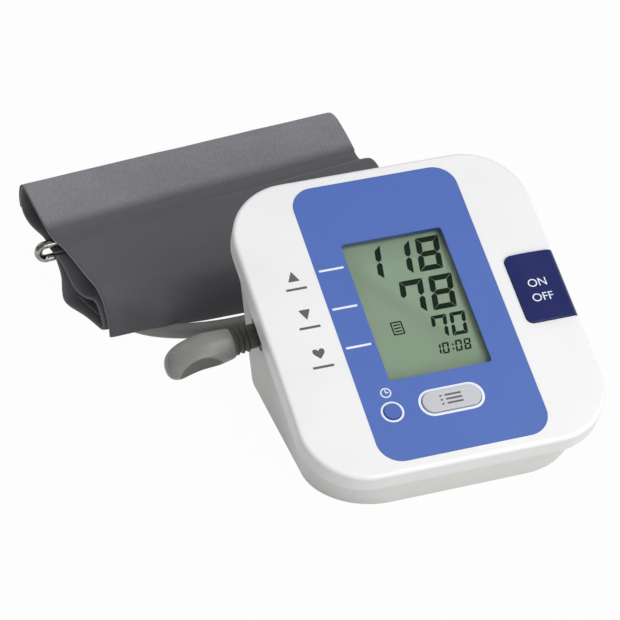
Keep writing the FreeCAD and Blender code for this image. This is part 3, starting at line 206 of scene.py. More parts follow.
@dataclass(frozen=True)
class Finish:
    """A surface named for its material and how it was made.

    Lengths are in millimetres: grain is the fine relief's spacing, height its depth, cloud the size of the
    slow drift between colour and shade. Spread is how far the roughness drifts either way. Stretch is the
    relief's scale along a cloth as a share of that across it. Over the edge width a cloth's colour comes out
    of the edge colour.
    """

    name: str
    colour: str
    shade: str
    roughness: float
    grain: float
    height: float
    cloud: float = 24.0
    spread: float = 0.05
    relief: Relief = Relief.GRAIN
    metallic: float = 0.0
    coat: float = 0.0
    sheen: float = 0.0
    alpha: float = 1.0
    stretch: float = 1.0
    specular: float = 0.5
    zone: Zone | None = None
    edge: str = ""
    edge_width: float = 0.0

    # Roughness of a clear coat, and of a cloth's fine hairs
    COAT_ROUGHNESS = 0.12
    SHEEN_ROUGHNESS = 0.45

    # Detail of the slow drift's noise, and of the fine grain's
    DRIFT_DETAIL = 4.0
    GRAIN_DETAIL = 2.0

    # Levels of the noise up to which a surface is all shade, and from which it is all colour
    SHADE_LEVEL = 0.3
    COLOUR_LEVEL = 0.65

    # Levels of the slow drift at which a surface is smoothest and roughest
    SMOOTH_LEVEL = 0.3
    ROUGH_LEVEL = 0.7

    # How far a weave's threads wander
    THREAD_WANDER = 0.4

    # Turn of a pile's leaning loops
    PILE_TURN = math.radians(24)

    def material(self) -> bpy.types.Material:
        """Build the material, once.

        Returns:
            The material.
        """
        known = bpy.data.materials.get(self.name)
        if known:
            return known
        material = bpy.data.materials.new(self.name)
        material.use_nodes = True
        tree = material.node_tree
        shader = tree.nodes["Principled BSDF"]
        shader.inputs["Metallic"].default_value = self.metallic
        shader.inputs["Coat Weight"].default_value = self.coat
        shader.inputs["Coat Roughness"].default_value = self.COAT_ROUGHNESS
        shader.inputs["Sheen Weight"].default_value = self.sheen
        shader.inputs["Sheen Roughness"].default_value = self.SHEEN_ROUGHNESS
        shader.inputs["Alpha"].default_value = self.alpha
        shader.inputs["Specular IOR Level"].default_value = self.specular
        self.paint(tree, shader)
        return material

    def paint(self, tree: bpy.types.NodeTree, shader: bpy.types.Node) -> None:
        """Give the shader its colour drift, its uneven gloss and its relief.

        Args:
            tree: The material's node tree.
            shader: Its main shader.
        """
        coords = add_node(tree, "ShaderNodeTexCoord", {})
        on_cloth = self.relief in (Relief.WEAVE, Relief.PILE)
        place = coords.outputs["UV"] if on_cloth else coords.outputs["Object"]
        drift = add_node(tree, "ShaderNodeTexNoise", {
            "Vector": place,
            "Scale": per_metre(self.cloud),
            "Detail": self.DRIFT_DETAIL,
        })
        fine = self.fine_height(tree, place)
        total = add_node(tree, "ShaderNodeMath", {0: drift.outputs["Fac"], 1: fine}, operation="ADD")
        mean = add_node(tree, "ShaderNodeMath", {0: total.outputs["Value"], 1: 0.5}, operation="MULTIPLY")
        ramp = add_node(tree, "ShaderNodeValToRGB", {"Fac": mean.outputs["Value"]})
        first, last = ramp.color_ramp.elements
        first.position = self.SHADE_LEVEL
        first.color = linear(self.shade)
        last.position = self.COLOUR_LEVEL
        last.color = linear(self.colour)
        colour = ramp.outputs["Color"]
        if self.zone:
            colour = self.zone.tint(tree, coords.outputs["Object"], colour)
        if self.edge_width:
            colour = self.fade_in(tree, place, colour)
        tree.links.new(colour, shader.inputs["Base Color"])
        gloss = add_node(tree, "ShaderNodeMapRange", {
            "Value": drift.outputs["Fac"],
            "From Min": self.SMOOTH_LEVEL,
            "From Max": self.ROUGH_LEVEL,
            "To Min": self.roughness - self.spread,
            "To Max": self.roughness + self.spread,
        })
        tree.links.new(gloss.outputs["Result"], shader.inputs["Roughness"])
        bump = add_node(tree, "ShaderNodeBump", {
            "Height": fine,
            "Distance": self.height * MM,
            "Strength": 1.0,
        })
        tree.links.new(bump.outputs["Normal"], shader.inputs["Normal"])

    def fade_in(self, tree: bpy.types.NodeTree, place: bpy.types.NodeSocket,
                colour: bpy.types.NodeSocket) -> bpy.types.NodeSocket:
        """Let the colour come out of the edge colour along the cloth's first millimetres.

        Args:
            tree: The material's node tree.
            place: The cloth's own coordinates, in metres.
            colour: The cloth's colour away from the edge.

        Returns:
            The colour with its soft edge.
        """
        along = add_node(tree, "ShaderNodeSeparateXYZ", {"Vector": place})
        share = add_node(tree, "ShaderNodeMapRange", {
            "Value": along.outputs["Y"],
            "From Min": 0.0,
            "From Max": self.edge_width * MM,
        }, interpolation_type="SMOOTHSTEP")
        mix = add_node(tree, "ShaderNodeMix", {0: share.outputs["Result"], 6: linear(self.edge), 7: colour},
                       data_type="RGBA")
        return mix.outputs[2]

    def fine_height(self, tree: bpy.types.NodeTree, place: bpy.types.NodeSocket) -> bpy.types.NodeSocket:
        """Make the fine relief's height.

        Args:
            tree: The material's node tree.
            place: The coordinates to read, in metres.

        Returns:
            A socket with values from 0 to 1.
        """
        if self.relief is Relief.WEAVE:
            threads = {"Vector": place, "Scale": wave_scale(self.grain), "Distortion": self.THREAD_WANDER}
            warp = add_node(tree, "ShaderNodeTexWave", threads, bands_direction="X")
            weft = add_node(tree, "ShaderNodeTexWave", threads, bands_direction="Y")
            cross = add_node(tree, "ShaderNodeMath", {0: warp.outputs["Fac"], 1: weft.outputs["Fac"]},
                             operation="MULTIPLY")
            return cross.outputs["Value"]
        turn = self.PILE_TURN if self.relief is Relief.PILE else 0.0
        mapped = add_node(tree, "ShaderNodeMapping", {
            "Vector": place,
            "Scale": Vector((1.0, self.stretch, 1.0)),
            "Rotation": (0.0, 0.0, turn),
        })
        grains = add_node(tree, "ShaderNodeTexNoise", {
            "Vector": mapped.outputs["Vector"],
            "Scale": per_metre(self.grain),
            "Detail": self.GRAIN_DETAIL,
        })
        return grains.outputs["Fac"]


class Finishes:
    """The finishes of this monitor's pieces."""

    # ABS, injection moulded in a spark-eroded tool: soft white with a satin grain, and painted shade on the
    # sides of the display's opening
    COVER = Finish("abs_white_moulded_satin", "#F3F3F4", "#EDEDEE", roughness=0.36, grain=0.5, height=0.006,
                   coat=0.08, zone=RECESS_PAINTED_SHADE)
    # The lower shell's ABS, from a slightly rougher tool: a warmer white, more matt
    SHELL = Finish("abs_white_moulded_matt", "#EDECE9", "#E3E2DE", roughness=0.46, grain=0.5, height=0.010)
    # Polycarbonate sheet printed from behind: even blue under a smooth hard coat, and painted shade on the
    # sides of the display's opening
    PANEL = Finish("polycarbonate_blue_printed", "#5471BC", "#506EB6", roughness=0.32, grain=0.8,
                   height=0.001, spread=0.02, specular=0.35, zone=RECESS_PAINTED_SHADE)
    # Acrylic window, cast and cut: clear, with faint wiping marks in the gloss
    WINDOW = Finish("acrylic_clear_cast", "#10130F", "#181B17", roughness=0.08, grain=2.0, height=0.001,
                    alpha=0.03)
    # Reflective display glass: grey green with the slight mottling of its back foil
    DISPLAY = Finish("display_glass_reflective", "#C8E2C3", "#BDD8BA", roughness=0.45, grain=0.6,
                     height=0.003, specular=0.1)
    # Etched segments of that glass: nearly black green
    SEGMENT = Finish("display_segment_etched", "#18241B", "#1D2B21", roughness=0.60, grain=0.5,
                     height=0.002, specular=0.05)
    # Navy ABS of the start key, from a polished tool: deep blue with a soft shine
    NAVY = Finish("abs_navy_moulded_gloss", "#1B2463", "#161E58", roughness=0.30, grain=0.6, height=0.002,
                  specular=0.3)
    # Pale grey silicone of the memory key, moulded: even and satin
    PALE = Finish("silicone_pale_moulded", "#C9CACF", "#BDBFC5", roughness=0.42, grain=0.5, height=0.006)
    # Blue silicone of the small key, moulded: satin, in the panel's colour
    BLUE_KEY = Finish("silicone_blue_moulded", "#4E6CB8", "#4663AE", roughness=0.36, grain=0.5,
                      height=0.006)
    # Screen-printed inks: slightly raised, faintly uneven cover
    WHITE_INK = Finish("screen_ink_white", "#F1F5FC", "#DDE6F6", roughness=0.45, grain=0.3, height=0.006)
    GREY_INK = Finish("screen_ink_grey", "#55565A", "#66676B", roughness=0.50, grain=0.3, height=0.006)
    # Soft PVC of the plug, moulded: mid grey, satin
    PLUG = Finish("pvc_grey_moulded", "#90908E", "#80807D", roughness=0.42, grain=0.7, height=0.010,
                  coat=0.05)
    # Its collar and ribs: a darker grey, dull
    PLUG_DARK = Finish("pvc_dark_moulded", "#4C4D47", "#40413C", roughness=0.50, grain=0.7, height=0.010)
    # Its finger rest: rougher, and darker as painted shade, since it faces down away from the light
    PLUG_REST_PAINTED_SHADE = Finish("pvc_grey_eroded_painted_shade", "#6A6B65", "#5C5D57", roughness=0.70, grain=0.5, height=0.030)
    # Extruded PVC hose: grey with a green cast, semi-gloss
    HOSE = Finish("pvc_hose_extruded", "#8E8F8C", "#80817D", roughness=0.38, grain=0.6, height=0.008,
                  coat=0.1)
    # Brushed nylon loop pile: short leaning loops, light grey. Its loops are drawn about twice their size
    # to show.
    PILE = Finish("nylon_loop_pile_brushed", "#8D8C92", "#79787E", roughness=0.86, grain=1.0, height=0.30,
                  relief=Relief.PILE, stretch=0.42, sheen=0.25, edge="#605F64", edge_width=6.0)
    # Plain-woven nylon with a smooth inner coat: dark grey. The threads are drawn twice as coarse to show.
    NYLON = Finish("nylon_woven_smooth", "#5F5E63", "#555459", roughness=0.62, grain=0.9, height=0.05,
                   relief=Relief.WEAVE, sheen=0.12)
    # The same nylon's coated reverse, seen inside the loop: duller, and lighter as painted fill light for its
    # shaded inside
    NYLON_BACK_PAINTED_LIGHT = Finish("nylon_woven_reverse_painted_light", "#7A797E", "#6C6B70", roughness=0.70, grain=0.9, height=0.06,
                        relief=Relief.WEAVE)
    # Cut edges of the cloth, sealed with heat: a paler, slightly frayed line
    EDGE = Finish("nylon_edge_sealed", "#8E8D92", "#7C7B80", roughness=0.66, grain=0.7, height=0.08,
                  relief=Relief.WEAVE)
    # Chromium-plated steel wire, bent and polished: a sharp gleam, with painted reflections: its colour
    # drifts to dark patches as if it mirrored a dark room
    CHROME_PAINTED_REFLECTION = Finish("steel_wire_chromed_painted_reflection", "#AFAFAB", "#3A3A38", roughness=0.10, grain=1.2, height=0.004,
                    cloud=4.0, metallic=1.0, spread=0.03)
    # Zinc-plated steel of the screws, the contacts and the motor's can: a cool grey gleam
    ZINC = Finish("steel_zinc_plated", "#B9BABD", "#9FA1A6", roughness=0.32, grain=0.8, height=0.006,
                  metallic=1.0)
    # Glass epoxy board under green solder resist: glossy, with a faint grain of the glass under it
    BOARD = Finish("glass_epoxy_green_resist", "#1E6B3A", "#185A30", roughness=0.35, grain=0.7,
                   height=0.010, coat=0.2)
    # Black epoxy of the chip, the sensor and the switches, moulded: dull, with a fine grain
    EPOXY = Finish("epoxy_black_moulded", "#1E1E20", "#28282A", roughness=0.55, grain=0.3, height=0.010)
    # Grey ABS of the inner frames and air fittings, moulded: plain and satin
    INNER = Finish("abs_grey_moulded", "#8F9093", "#838487", roughness=0.48, grain=0.6, height=0.010)
    # Black rubber of the pump's cradle, the connector strips and the bladder, moulded: soft, without shine
    RUBBER = Finish("rubber_black_moulded", "#232324", "#2C2C2D", roughness=0.72, grain=0.6, height=0.020)
    # Dark sleeve of a dry cell, shrunk film: a soft gloss
    SLEEVE = Finish("cell_sleeve_shrunk", "#3A3C42", "#303238", roughness=0.26, grain=1.4, height=0.008,
                    coat=0.3)
    # Milky silicone of the inner air tubes, extruded: a cloudy off-white
    SILICONE = Finish("silicone_milky_extruded", "#D9D8D0", "#C9C8BF", roughness=0.45, grain=0.6,
                      height=0.010)
    # Dark ABS of the air socket, moulded: deep grey and satin
    SOCKET = Finish("abs_dark_moulded", "#6A6B66", "#5E5F5A", roughness=0.45, grain=0.5, height=0.010)


# Finish of each hard CAD node, by the node's name
NODE_FINISHES: dict[str, Finish] = {
    "top_cover": Finishes.COVER,
    "bottom_case": Finishes.SHELL,
    "battery_door": Finishes.SHELL,
    "face_panel": Finishes.PANEL,
    "display_window": Finishes.WINDOW,
    "lcd_glass": Finishes.DISPLAY,
    "lcd_holder": Finishes.INNER,
    "lcd_connector_strips": Finishes.RUBBER,
    "start_stop_button": Finishes.NAVY,
    "memory_button": Finishes.PALE,
    "clock_button": Finishes.BLUE_KEY,
    "main_board": Finishes.BOARD,
    "board_screws": Finishes.ZINC,
    "button_switches": Finishes.EPOXY,
    "control_chip": Finishes.EPOXY,
    "pressure_sensor": Finishes.EPOXY,
    "case_screws": Finishes.ZINC,
    "battery_tray": Finishes.INNER,
    "batteries": Finishes.SLEEVE,
    "battery_contacts": Finishes.ZINC,
    "pump_motor": Finishes.ZINC,
    "pump_head": Finishes.INNER,
    "pump_cradle": Finishes.RUBBER,
    "exhaust_valve": Finishes.INNER,
    "air_socket": Finishes.SOCKET,
    "air_joint": Finishes.INNER,
    "air_tubes": Finishes.SILICONE,
    "cuff_nozzle": Finishes.PLUG,
    "d_ring": Finishes.CHROME_PAINTED_REFLECTION,
}


def dress_nodes() -> None:
    """Give every hard CAD node its finish."""
    for name, finish in NODE_FINISHES.items():
        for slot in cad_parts[name].material_slots:
            slot.material = finish.material()
        LOG.info("dressed %s", name)


def add_piece(name: str, bm: bmesh.types.BMesh, finishes: Sequence[Finish], body: Body,
              smooth: bool = True) -> bpy.types.Object:
    """Turn a bmesh into a piece of the object.

    Args:
        name: The piece's name.
        bm: Its shape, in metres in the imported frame. It is freed.
        finishes: Its materials, in the order of the faces' material numbers.
        body: The body it rides on.
        smooth: Whether its faces are shaded smooth.

    Returns:
        The new object.
    """
    for face in bm.faces:
        face.smooth = smooth
    mesh = bpy.data.meshes.new(name)
    bm.to_mesh(mesh)
    bm.free()
    for finish in finishes:
        mesh.materials.append(finish.material())
    piece = bpy.data.objects.new(name, mesh)
    bpy.context.scene.collection.objects.link(piece)
    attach(piece, body.value)
    LOG.info("built %s with %d faces", name, len(mesh.polygons))
    return piece


def join(target: bmesh.types.BMesh, shape: bmesh.types.BMesh) -> None:
    """Add one shape to another.

    Args:
        target: The shape that grows.
        shape: The shape to add. It is freed.
    """
    mesh = bpy.data.meshes.new("joined_shape")
    shape.to_mesh(mesh)
    shape.free()
    target.from_mesh(mesh)
    bpy.data.meshes.remove(mesh)


def mesh_of_curve(curve: bpy.types.Curve) -> bpy.types.Mesh:
    """Turn a curve or words into a mesh.

    Args:
        curve: The curve. It is removed.

    Returns:
        Its mesh.
    """
    holder = bpy.data.objects.new(curve.name, curve)
    bpy.context.scene.collection.objects.link(holder)
    mesh = bpy.data.meshes.new_from_object(holder)
    bpy.data.objects.remove(holder)
    bpy.data.curves.remove(curve)
    return mesh


def round_off(piece: bpy.types.Object, levels: int = 1) -> None:
    """Round a piece.

    Args:
        piece: The piece.
        levels: Rounds of subdivision.
    """
    rounding = piece.modifiers.new("rounding", "SUBSURF")
    rounding.levels = levels
    rounding.render_levels = levels


def thicken(piece: bpy.types.Object, thickness: float, rim: int = 0) -> None:
    """Give a cloth piece its thickness and round it.

    Args:
        piece: The cloth piece, as a single layer.
        thickness: The cloth's thickness in millimetres.
        rim: Step from a face's material number to that of the cut edge beside it.
    """
    wall = piece.modifiers.new("thickness", "SOLIDIFY")
    wall.thickness = thickness * MM
    wall.offset = 0.0
    wall.use_even_offset = True
    wall.material_offset_rim = rim
    round_off(piece)


@dataclass(frozen=True)
class Viewpoint:
    """The camera, at the photograph's viewing angle. Lengths are in millimetres, angles in degrees."""

    position: tuple[float, float, float] = (-321.1, -829.7, 661.6)
    azimuth: float = 18.493
    elevation: float = 34.616
    roll: float = 0.06
    lens: float = 150.97
    sensor: float = 36.0
    near: float = 10.0

    def build(self) -> None:
        """Make the camera and set it as the scene's own."""
        turn = math.radians(self.azimuth)
        rise = math.radians(self.elevation)
        back = Vector((-math.sin(turn) * math.cos(rise), -math.cos(turn) * math.cos(rise), math.sin(rise)))
        right = Vector((math.cos(turn), -math.sin(turn), 0.0))
        up = back.cross(right)
        axes = Matrix((right, up, back)).transposed().to_4x4()
        data = bpy.data.cameras.new("camera")
        data.lens = self.lens
        data.sensor_width = self.sensor
        data.clip_start = self.near * MM
        camera = bpy.data.objects.new("camera", data)
        place = Matrix.Translation(Vector(self.position) * MM)
        camera.matrix_world = place @ axes @ Matrix.Rotation(math.radians(self.roll), 4, "Z")
        bpy.context.scene.collection.objects.link(camera)
        bpy.context.scene.camera = camera


@dataclass(frozen=True)
class Studio:
    """A white floor under three soft lamps and a sky. Lengths are in metres, powers in watts.

    Floor glow is the share of plain white in what is seen of the floor. Sky left and sky right are the sky's
    strength on either side.
    """

    floor_size: float = 6.0
    floor_glow: float = 0.97
    floor_colour: str = "#C4C4C4"
    sky_left: float = 0.29
    sky_right: float = 0.48
    lamp_size: float = 0.9
    key_power: float = 9.6
    key_place: tuple[float, float, float] = (0.52, -0.62, 1.13)
    fill_power: float = 7.5
    fill_place: tuple[float, float, float] = (0.28, -1.32, 0.27)
    rim_power: float = 2.0
    rim_place: tuple[float, float, float] = (-0.7, 0.8, 0.9)
    aim: tuple[float, float, float] = (0.0, 0.03, 0.03)

    def build(self) -> None:
        """Make the floor, the lamps and the sky."""
        bpy.context.scene.view_settings.view_transform = "Standard"
        self.build_floor()
        self.build_lamp("key_lamp", self.key_place, self.key_power)
        self.build_lamp("fill_lamp", self.fill_place, self.fill_power)
        self.build_lamp("rim_lamp", self.rim_place, self.rim_power)
        self.build_sky()

    def seen_directly(self, tree: bpy.types.NodeTree) -> bpy.types.NodeSocket:
        """Tell whether a surface is seen straight, in a reflection or through glass.

        Args:
            tree: The node tree that asks.

        Returns:
            A socket that is 1 for such rays and 0 for the rest.
        """
        path = add_node(tree, "ShaderNodeLightPath", {})
        mirrored = add_node(tree, "ShaderNodeMath", {
            0: path.outputs["Is Camera Ray"],
            1: path.outputs["Is Glossy Ray"],
        }, operation="ADD")
        total = add_node(tree, "ShaderNodeMath", {
            0: mirrored.outputs["Value"],
            1: path.outputs["Is Transmission Ray"],
        }, operation="ADD", use_clamp=True)
        return total.outputs["Value"]

    def build_floor(self) -> None:
        """Make a wide white floor with a faint shadow of the object."""
        bm = bmesh.new()
        bmesh.ops.create_grid(bm, x_segments=1, y_segments=1, size=self.floor_size / 2)
        mesh = bpy.data.meshes.new("studio_floor")
        bm.to_mesh(mesh)
        bm.free()
        material = bpy.data.materials.new("paper_backdrop_white")
        material.use_nodes = True
        tree = material.node_tree
        tree.nodes.remove(tree.nodes["Principled BSDF"])
        matt = add_node(tree, "ShaderNodeBsdfDiffuse", {"Color": linear(self.floor_colour)})
        glow = add_node(tree, "ShaderNodeEmission", {"Color": linear(WHITE), "Strength": 1.0})
        share = add_node(tree, "ShaderNodeMath", {0: self.seen_directly(tree), 1: self.floor_glow},
                         operation="MULTIPLY")
        mix = add_node(tree, "ShaderNodeMixShader", {
            0: share.outputs["Value"],
            1: matt.outputs["BSDF"],
            2: glow.outputs["Emission"],
        })
        tree.links.new(mix.outputs["Shader"], tree.nodes["Material Output"].inputs["Surface"])
        mesh.materials.append(material)
        floor = bpy.data.objects.new("studio_floor", mesh)
        bpy.context.scene.collection.objects.link(floor)

    def build_lamp(self, name: str, place: tuple[float, float, float], power: float) -> None:
        """Make one square soft lamp aimed at the object.

        Args:
            name: The lamp's name.
            place: Where it stands, in metres.
            power: Its power in watts.
        """
        data = bpy.data.lights.new(name, "AREA")
        data.energy = power
        data.size = self.lamp_size
        lamp = bpy.data.objects.new(name, data)
        ahead = Vector(self.aim) - Vector(place)
        turn = ahead.to_track_quat("-Z", "Y").to_matrix().to_4x4()
        lamp.matrix_world = Matrix.Translation(Vector(place)) @ turn
        bpy.context.scene.collection.objects.link(lamp)

    def build_sky(self) -> None:
        """Make a white sky that is dimmer to the left, as in a room lit from the right."""
        world = bpy.data.worlds.new("studio_sky")
        bpy.context.scene.world = world
        world.use_nodes = True
        tree = world.node_tree
        background = tree.nodes["Background"]
        background.inputs["Color"].default_value = linear(WHITE)
        coords = add_node(tree, "ShaderNodeTexCoord", {})
        ways = add_node(tree, "ShaderNodeSeparateXYZ", {"Vector": coords.outputs["Generated"]})
        glow = add_node(tree, "ShaderNodeMapRange", {
            "Value": ways.outputs["X"],
            "From Min": -1.0,
            "From Max": 1.0,
            "To Min": self.sky_left,
            "To Max": self.sky_right,
        })
        tree.links.new(glow.outputs["Result"], background.inputs["Strength"])


@dataclass
class InkSheet:
    """Flat printed shapes on the face, gathered in one mesh. Lengths are in millimetres."""

    face: FaceFrame
    thickness: float = 0.05
    bm: bmesh.types.BMesh = field(default_factory=bmesh.new)

    # Steps round a ring, a bar's corner and a polygon's corner
    RING_STEPS = 48
    BAR_STEPS = 6
    POLYGON_STEPS = 3

    # Height of a capital letter as a share of its type's size
    CAPITAL_SHARE = 0.7

    # Share of the ink's thickness that lies under the surface
    SUNK_SHARE = 0.2

    # Distance to either side of the face's plane within which the surface lies
    REACH = 10.0

    def add(self, shape: bmesh.types.BMesh, across: float, up: float, lean: float = 0.0) -> None:
        """Put a shape, drawn in millimetres round its own origin, on the sheet.

        Args:
            shape: The shape. It is freed.
            across: Its place across the face.
            up: Its place up the face.
            lean: How far its top leans to the right, as a share of its height.
        """
        slope = Matrix.Identity(4)
        slope[0][1] = lean
        matrix = Matrix.Translation((across, up, 0.0)) @ slope
        bmesh.ops.transform(shape, matrix=matrix, verts=shape.verts[:])
        join(self.bm, shape)

    def bar(self, across: float, up: float, width: float, height: float, corner: float = 0.0) -> None:
        """Print a bar round a middle point, with its corners rounded where a radius is given."""
        self.add(self.plate(width, height, corner), across, up)

    def outline(self, across: float, up: float, width: float, height: float, corner: float,
                line: float) -> None:
        """Print the outline of a rounded bar, its line inside the given size.

        Args:
            across: The middle's place across the face.
            up: The middle's place up the face.
            width: The outer width.
            height: The outer height.
            corner: The outer corners' radius.
            line: The line's width.
        """
        shape = self.plate(width, height, corner)
        self.hollow(shape, line)
        self.add(shape, across, up)

    def ring(self, across: float, up: float, diameter: float, line: float) -> None:
        """Print a ring, its line inside the given diameter.

        Args:
            across: The middle's place across the face.
            up: The middle's place up the face.
            diameter: The outer diameter.
            line: The line's width.
        """
        shape = bmesh.new()
        bmesh.ops.create_circle(shape, cap_ends=True, radius=diameter / 2, segments=self.RING_STEPS)
        self.hollow(shape, line)
        self.add(shape, across, up)

    def polygon(self, points: Sequence[tuple[float, float]], across: float, up: float, lean: float = 0.0,
                soft: float = 0.0) -> None:
        """Print a polygon of a few points.

        Args:
            points: Its corners, in turn.
            across: The place of its origin across the face.
            up: The place of its origin up the face.
            lean: How far its top leans to the right, as a share of its height.
            soft: The radius of its corners, or zero.
        """
        shape = bmesh.new()
        shape.faces.new([shape.verts.new((x, y, 0.0)) for x, y in points])
        self.round_corners(shape, soft, self.POLYGON_STEPS)
        self.add(shape, across, up, lean=lean)

    def words(self, text: str, across: float, up: float, height: float) -> None:
        """Print plain words round a middle point.

        Args:
            text: The words.
            across: The middle's place across the face.
            up: The middle's place up the face.
            height: The height of a capital letter.
        """
        curve = bpy.data.curves.new("words", "FONT")
        curve.body = text
        curve.size = height / self.CAPITAL_SHARE
        curve.align_x = "CENTER"
        curve.align_y = "CENTER"
        mesh = mesh_of_curve(curve)
        shape = bmesh.new()
        shape.from_mesh(mesh)
        bpy.data.meshes.remove(mesh)
        self.add(shape, across, up)

    def plate(self, width: float, height: float, corner: float) -> bmesh.types.BMesh:
        """Draw one flat plate.

        Args:
            width: Its width.
            height: Its height.
            corner: Its corners' radius, or zero.

        Returns:
            The plate round its own origin.
        """
        shape = bmesh.new()
        bmesh.ops.create_grid(shape, x_segments=1, y_segments=1, size=0.5)
        bmesh.ops.scale(shape, vec=(width, height, 1.0), verts=shape.verts[:])
        self.round_corners(shape, corner, self.BAR_STEPS)
        return shape

    def round_corners(self, shape: bmesh.types.BMesh, radius: float, steps: int) -> None:
        """Round a flat shape's corners.

        Args:
            shape: The shape.
            radius: The corners' radius, or zero to leave them sharp.
            steps: Steps round each corner.
        """
        if radius:
            bmesh.ops.bevel(shape, geom=shape.verts[:], offset=radius, affect="VERTICES", segments=steps,
                            profile=0.5, material=-1)

    def hollow(self, shape: bmesh.types.BMesh, line: float) -> None:
        """Cut a flat shape away but for a line along its edge.

        Args:
            shape: The shape.
            line: The line's width.
        """
        inner = shape.faces[:]
        bmesh.ops.inset_region(shape, faces=inner, thickness=line, use_boundary=True, use_even_offset=True)
        bmesh.ops.delete(shape, geom=inner, context="FACES")

    def piece(self, name: str, finish: Finish, body: Body, slot: str, carrier: str) -> None:
        """Lay the sheet on the node that carries it and make it a piece.

        Args:
            name: The piece's name.
            finish: Its finish.
            body: The body it rides on.
            slot: The record's material slot it belongs to. It is not used.
            carrier: The CAD node that it is printed on.
        """
        bmesh.ops.recalc_face_normals(self.bm, faces=self.bm.faces[:])
        for face in self.bm.faces:
            if face.normal.z < 0:
                face.normal_flip()
        matrix = self.face.place() @ Matrix.Scale(MM, 4)
        bmesh.ops.transform(self.bm, matrix=matrix, verts=self.bm.verts[:])
        out = (self.face.place().to_3x3() @ Vector((0.0, 0.0, 1.0))).normalized()
        surface = bmesh.new()
        surface.from_mesh(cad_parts[carrier].data)
        tree = BVHTree.FromBMesh(surface)
        reach = self.REACH * MM
        sink = self.SUNK_SHARE * self.thickness * MM
        for vert in self.bm.verts:
            hit = tree.ray_cast(vert.co + out * reach, -out, 2 * reach)[0]
            if hit:
                vert.co = hit - out * sink
        surface.free()
        lifted = bmesh.ops.extrude_face_region(self.bm, geom=self.bm.faces[:])
        tops = [item for item in lifted["geom"] if isinstance(item, bmesh.types.BMVert)]
        bmesh.ops.translate(self.bm, vec=out * self.thickness * MM, verts=tops)
        add_piece(name, self.bm, [finish], body, smooth=False)


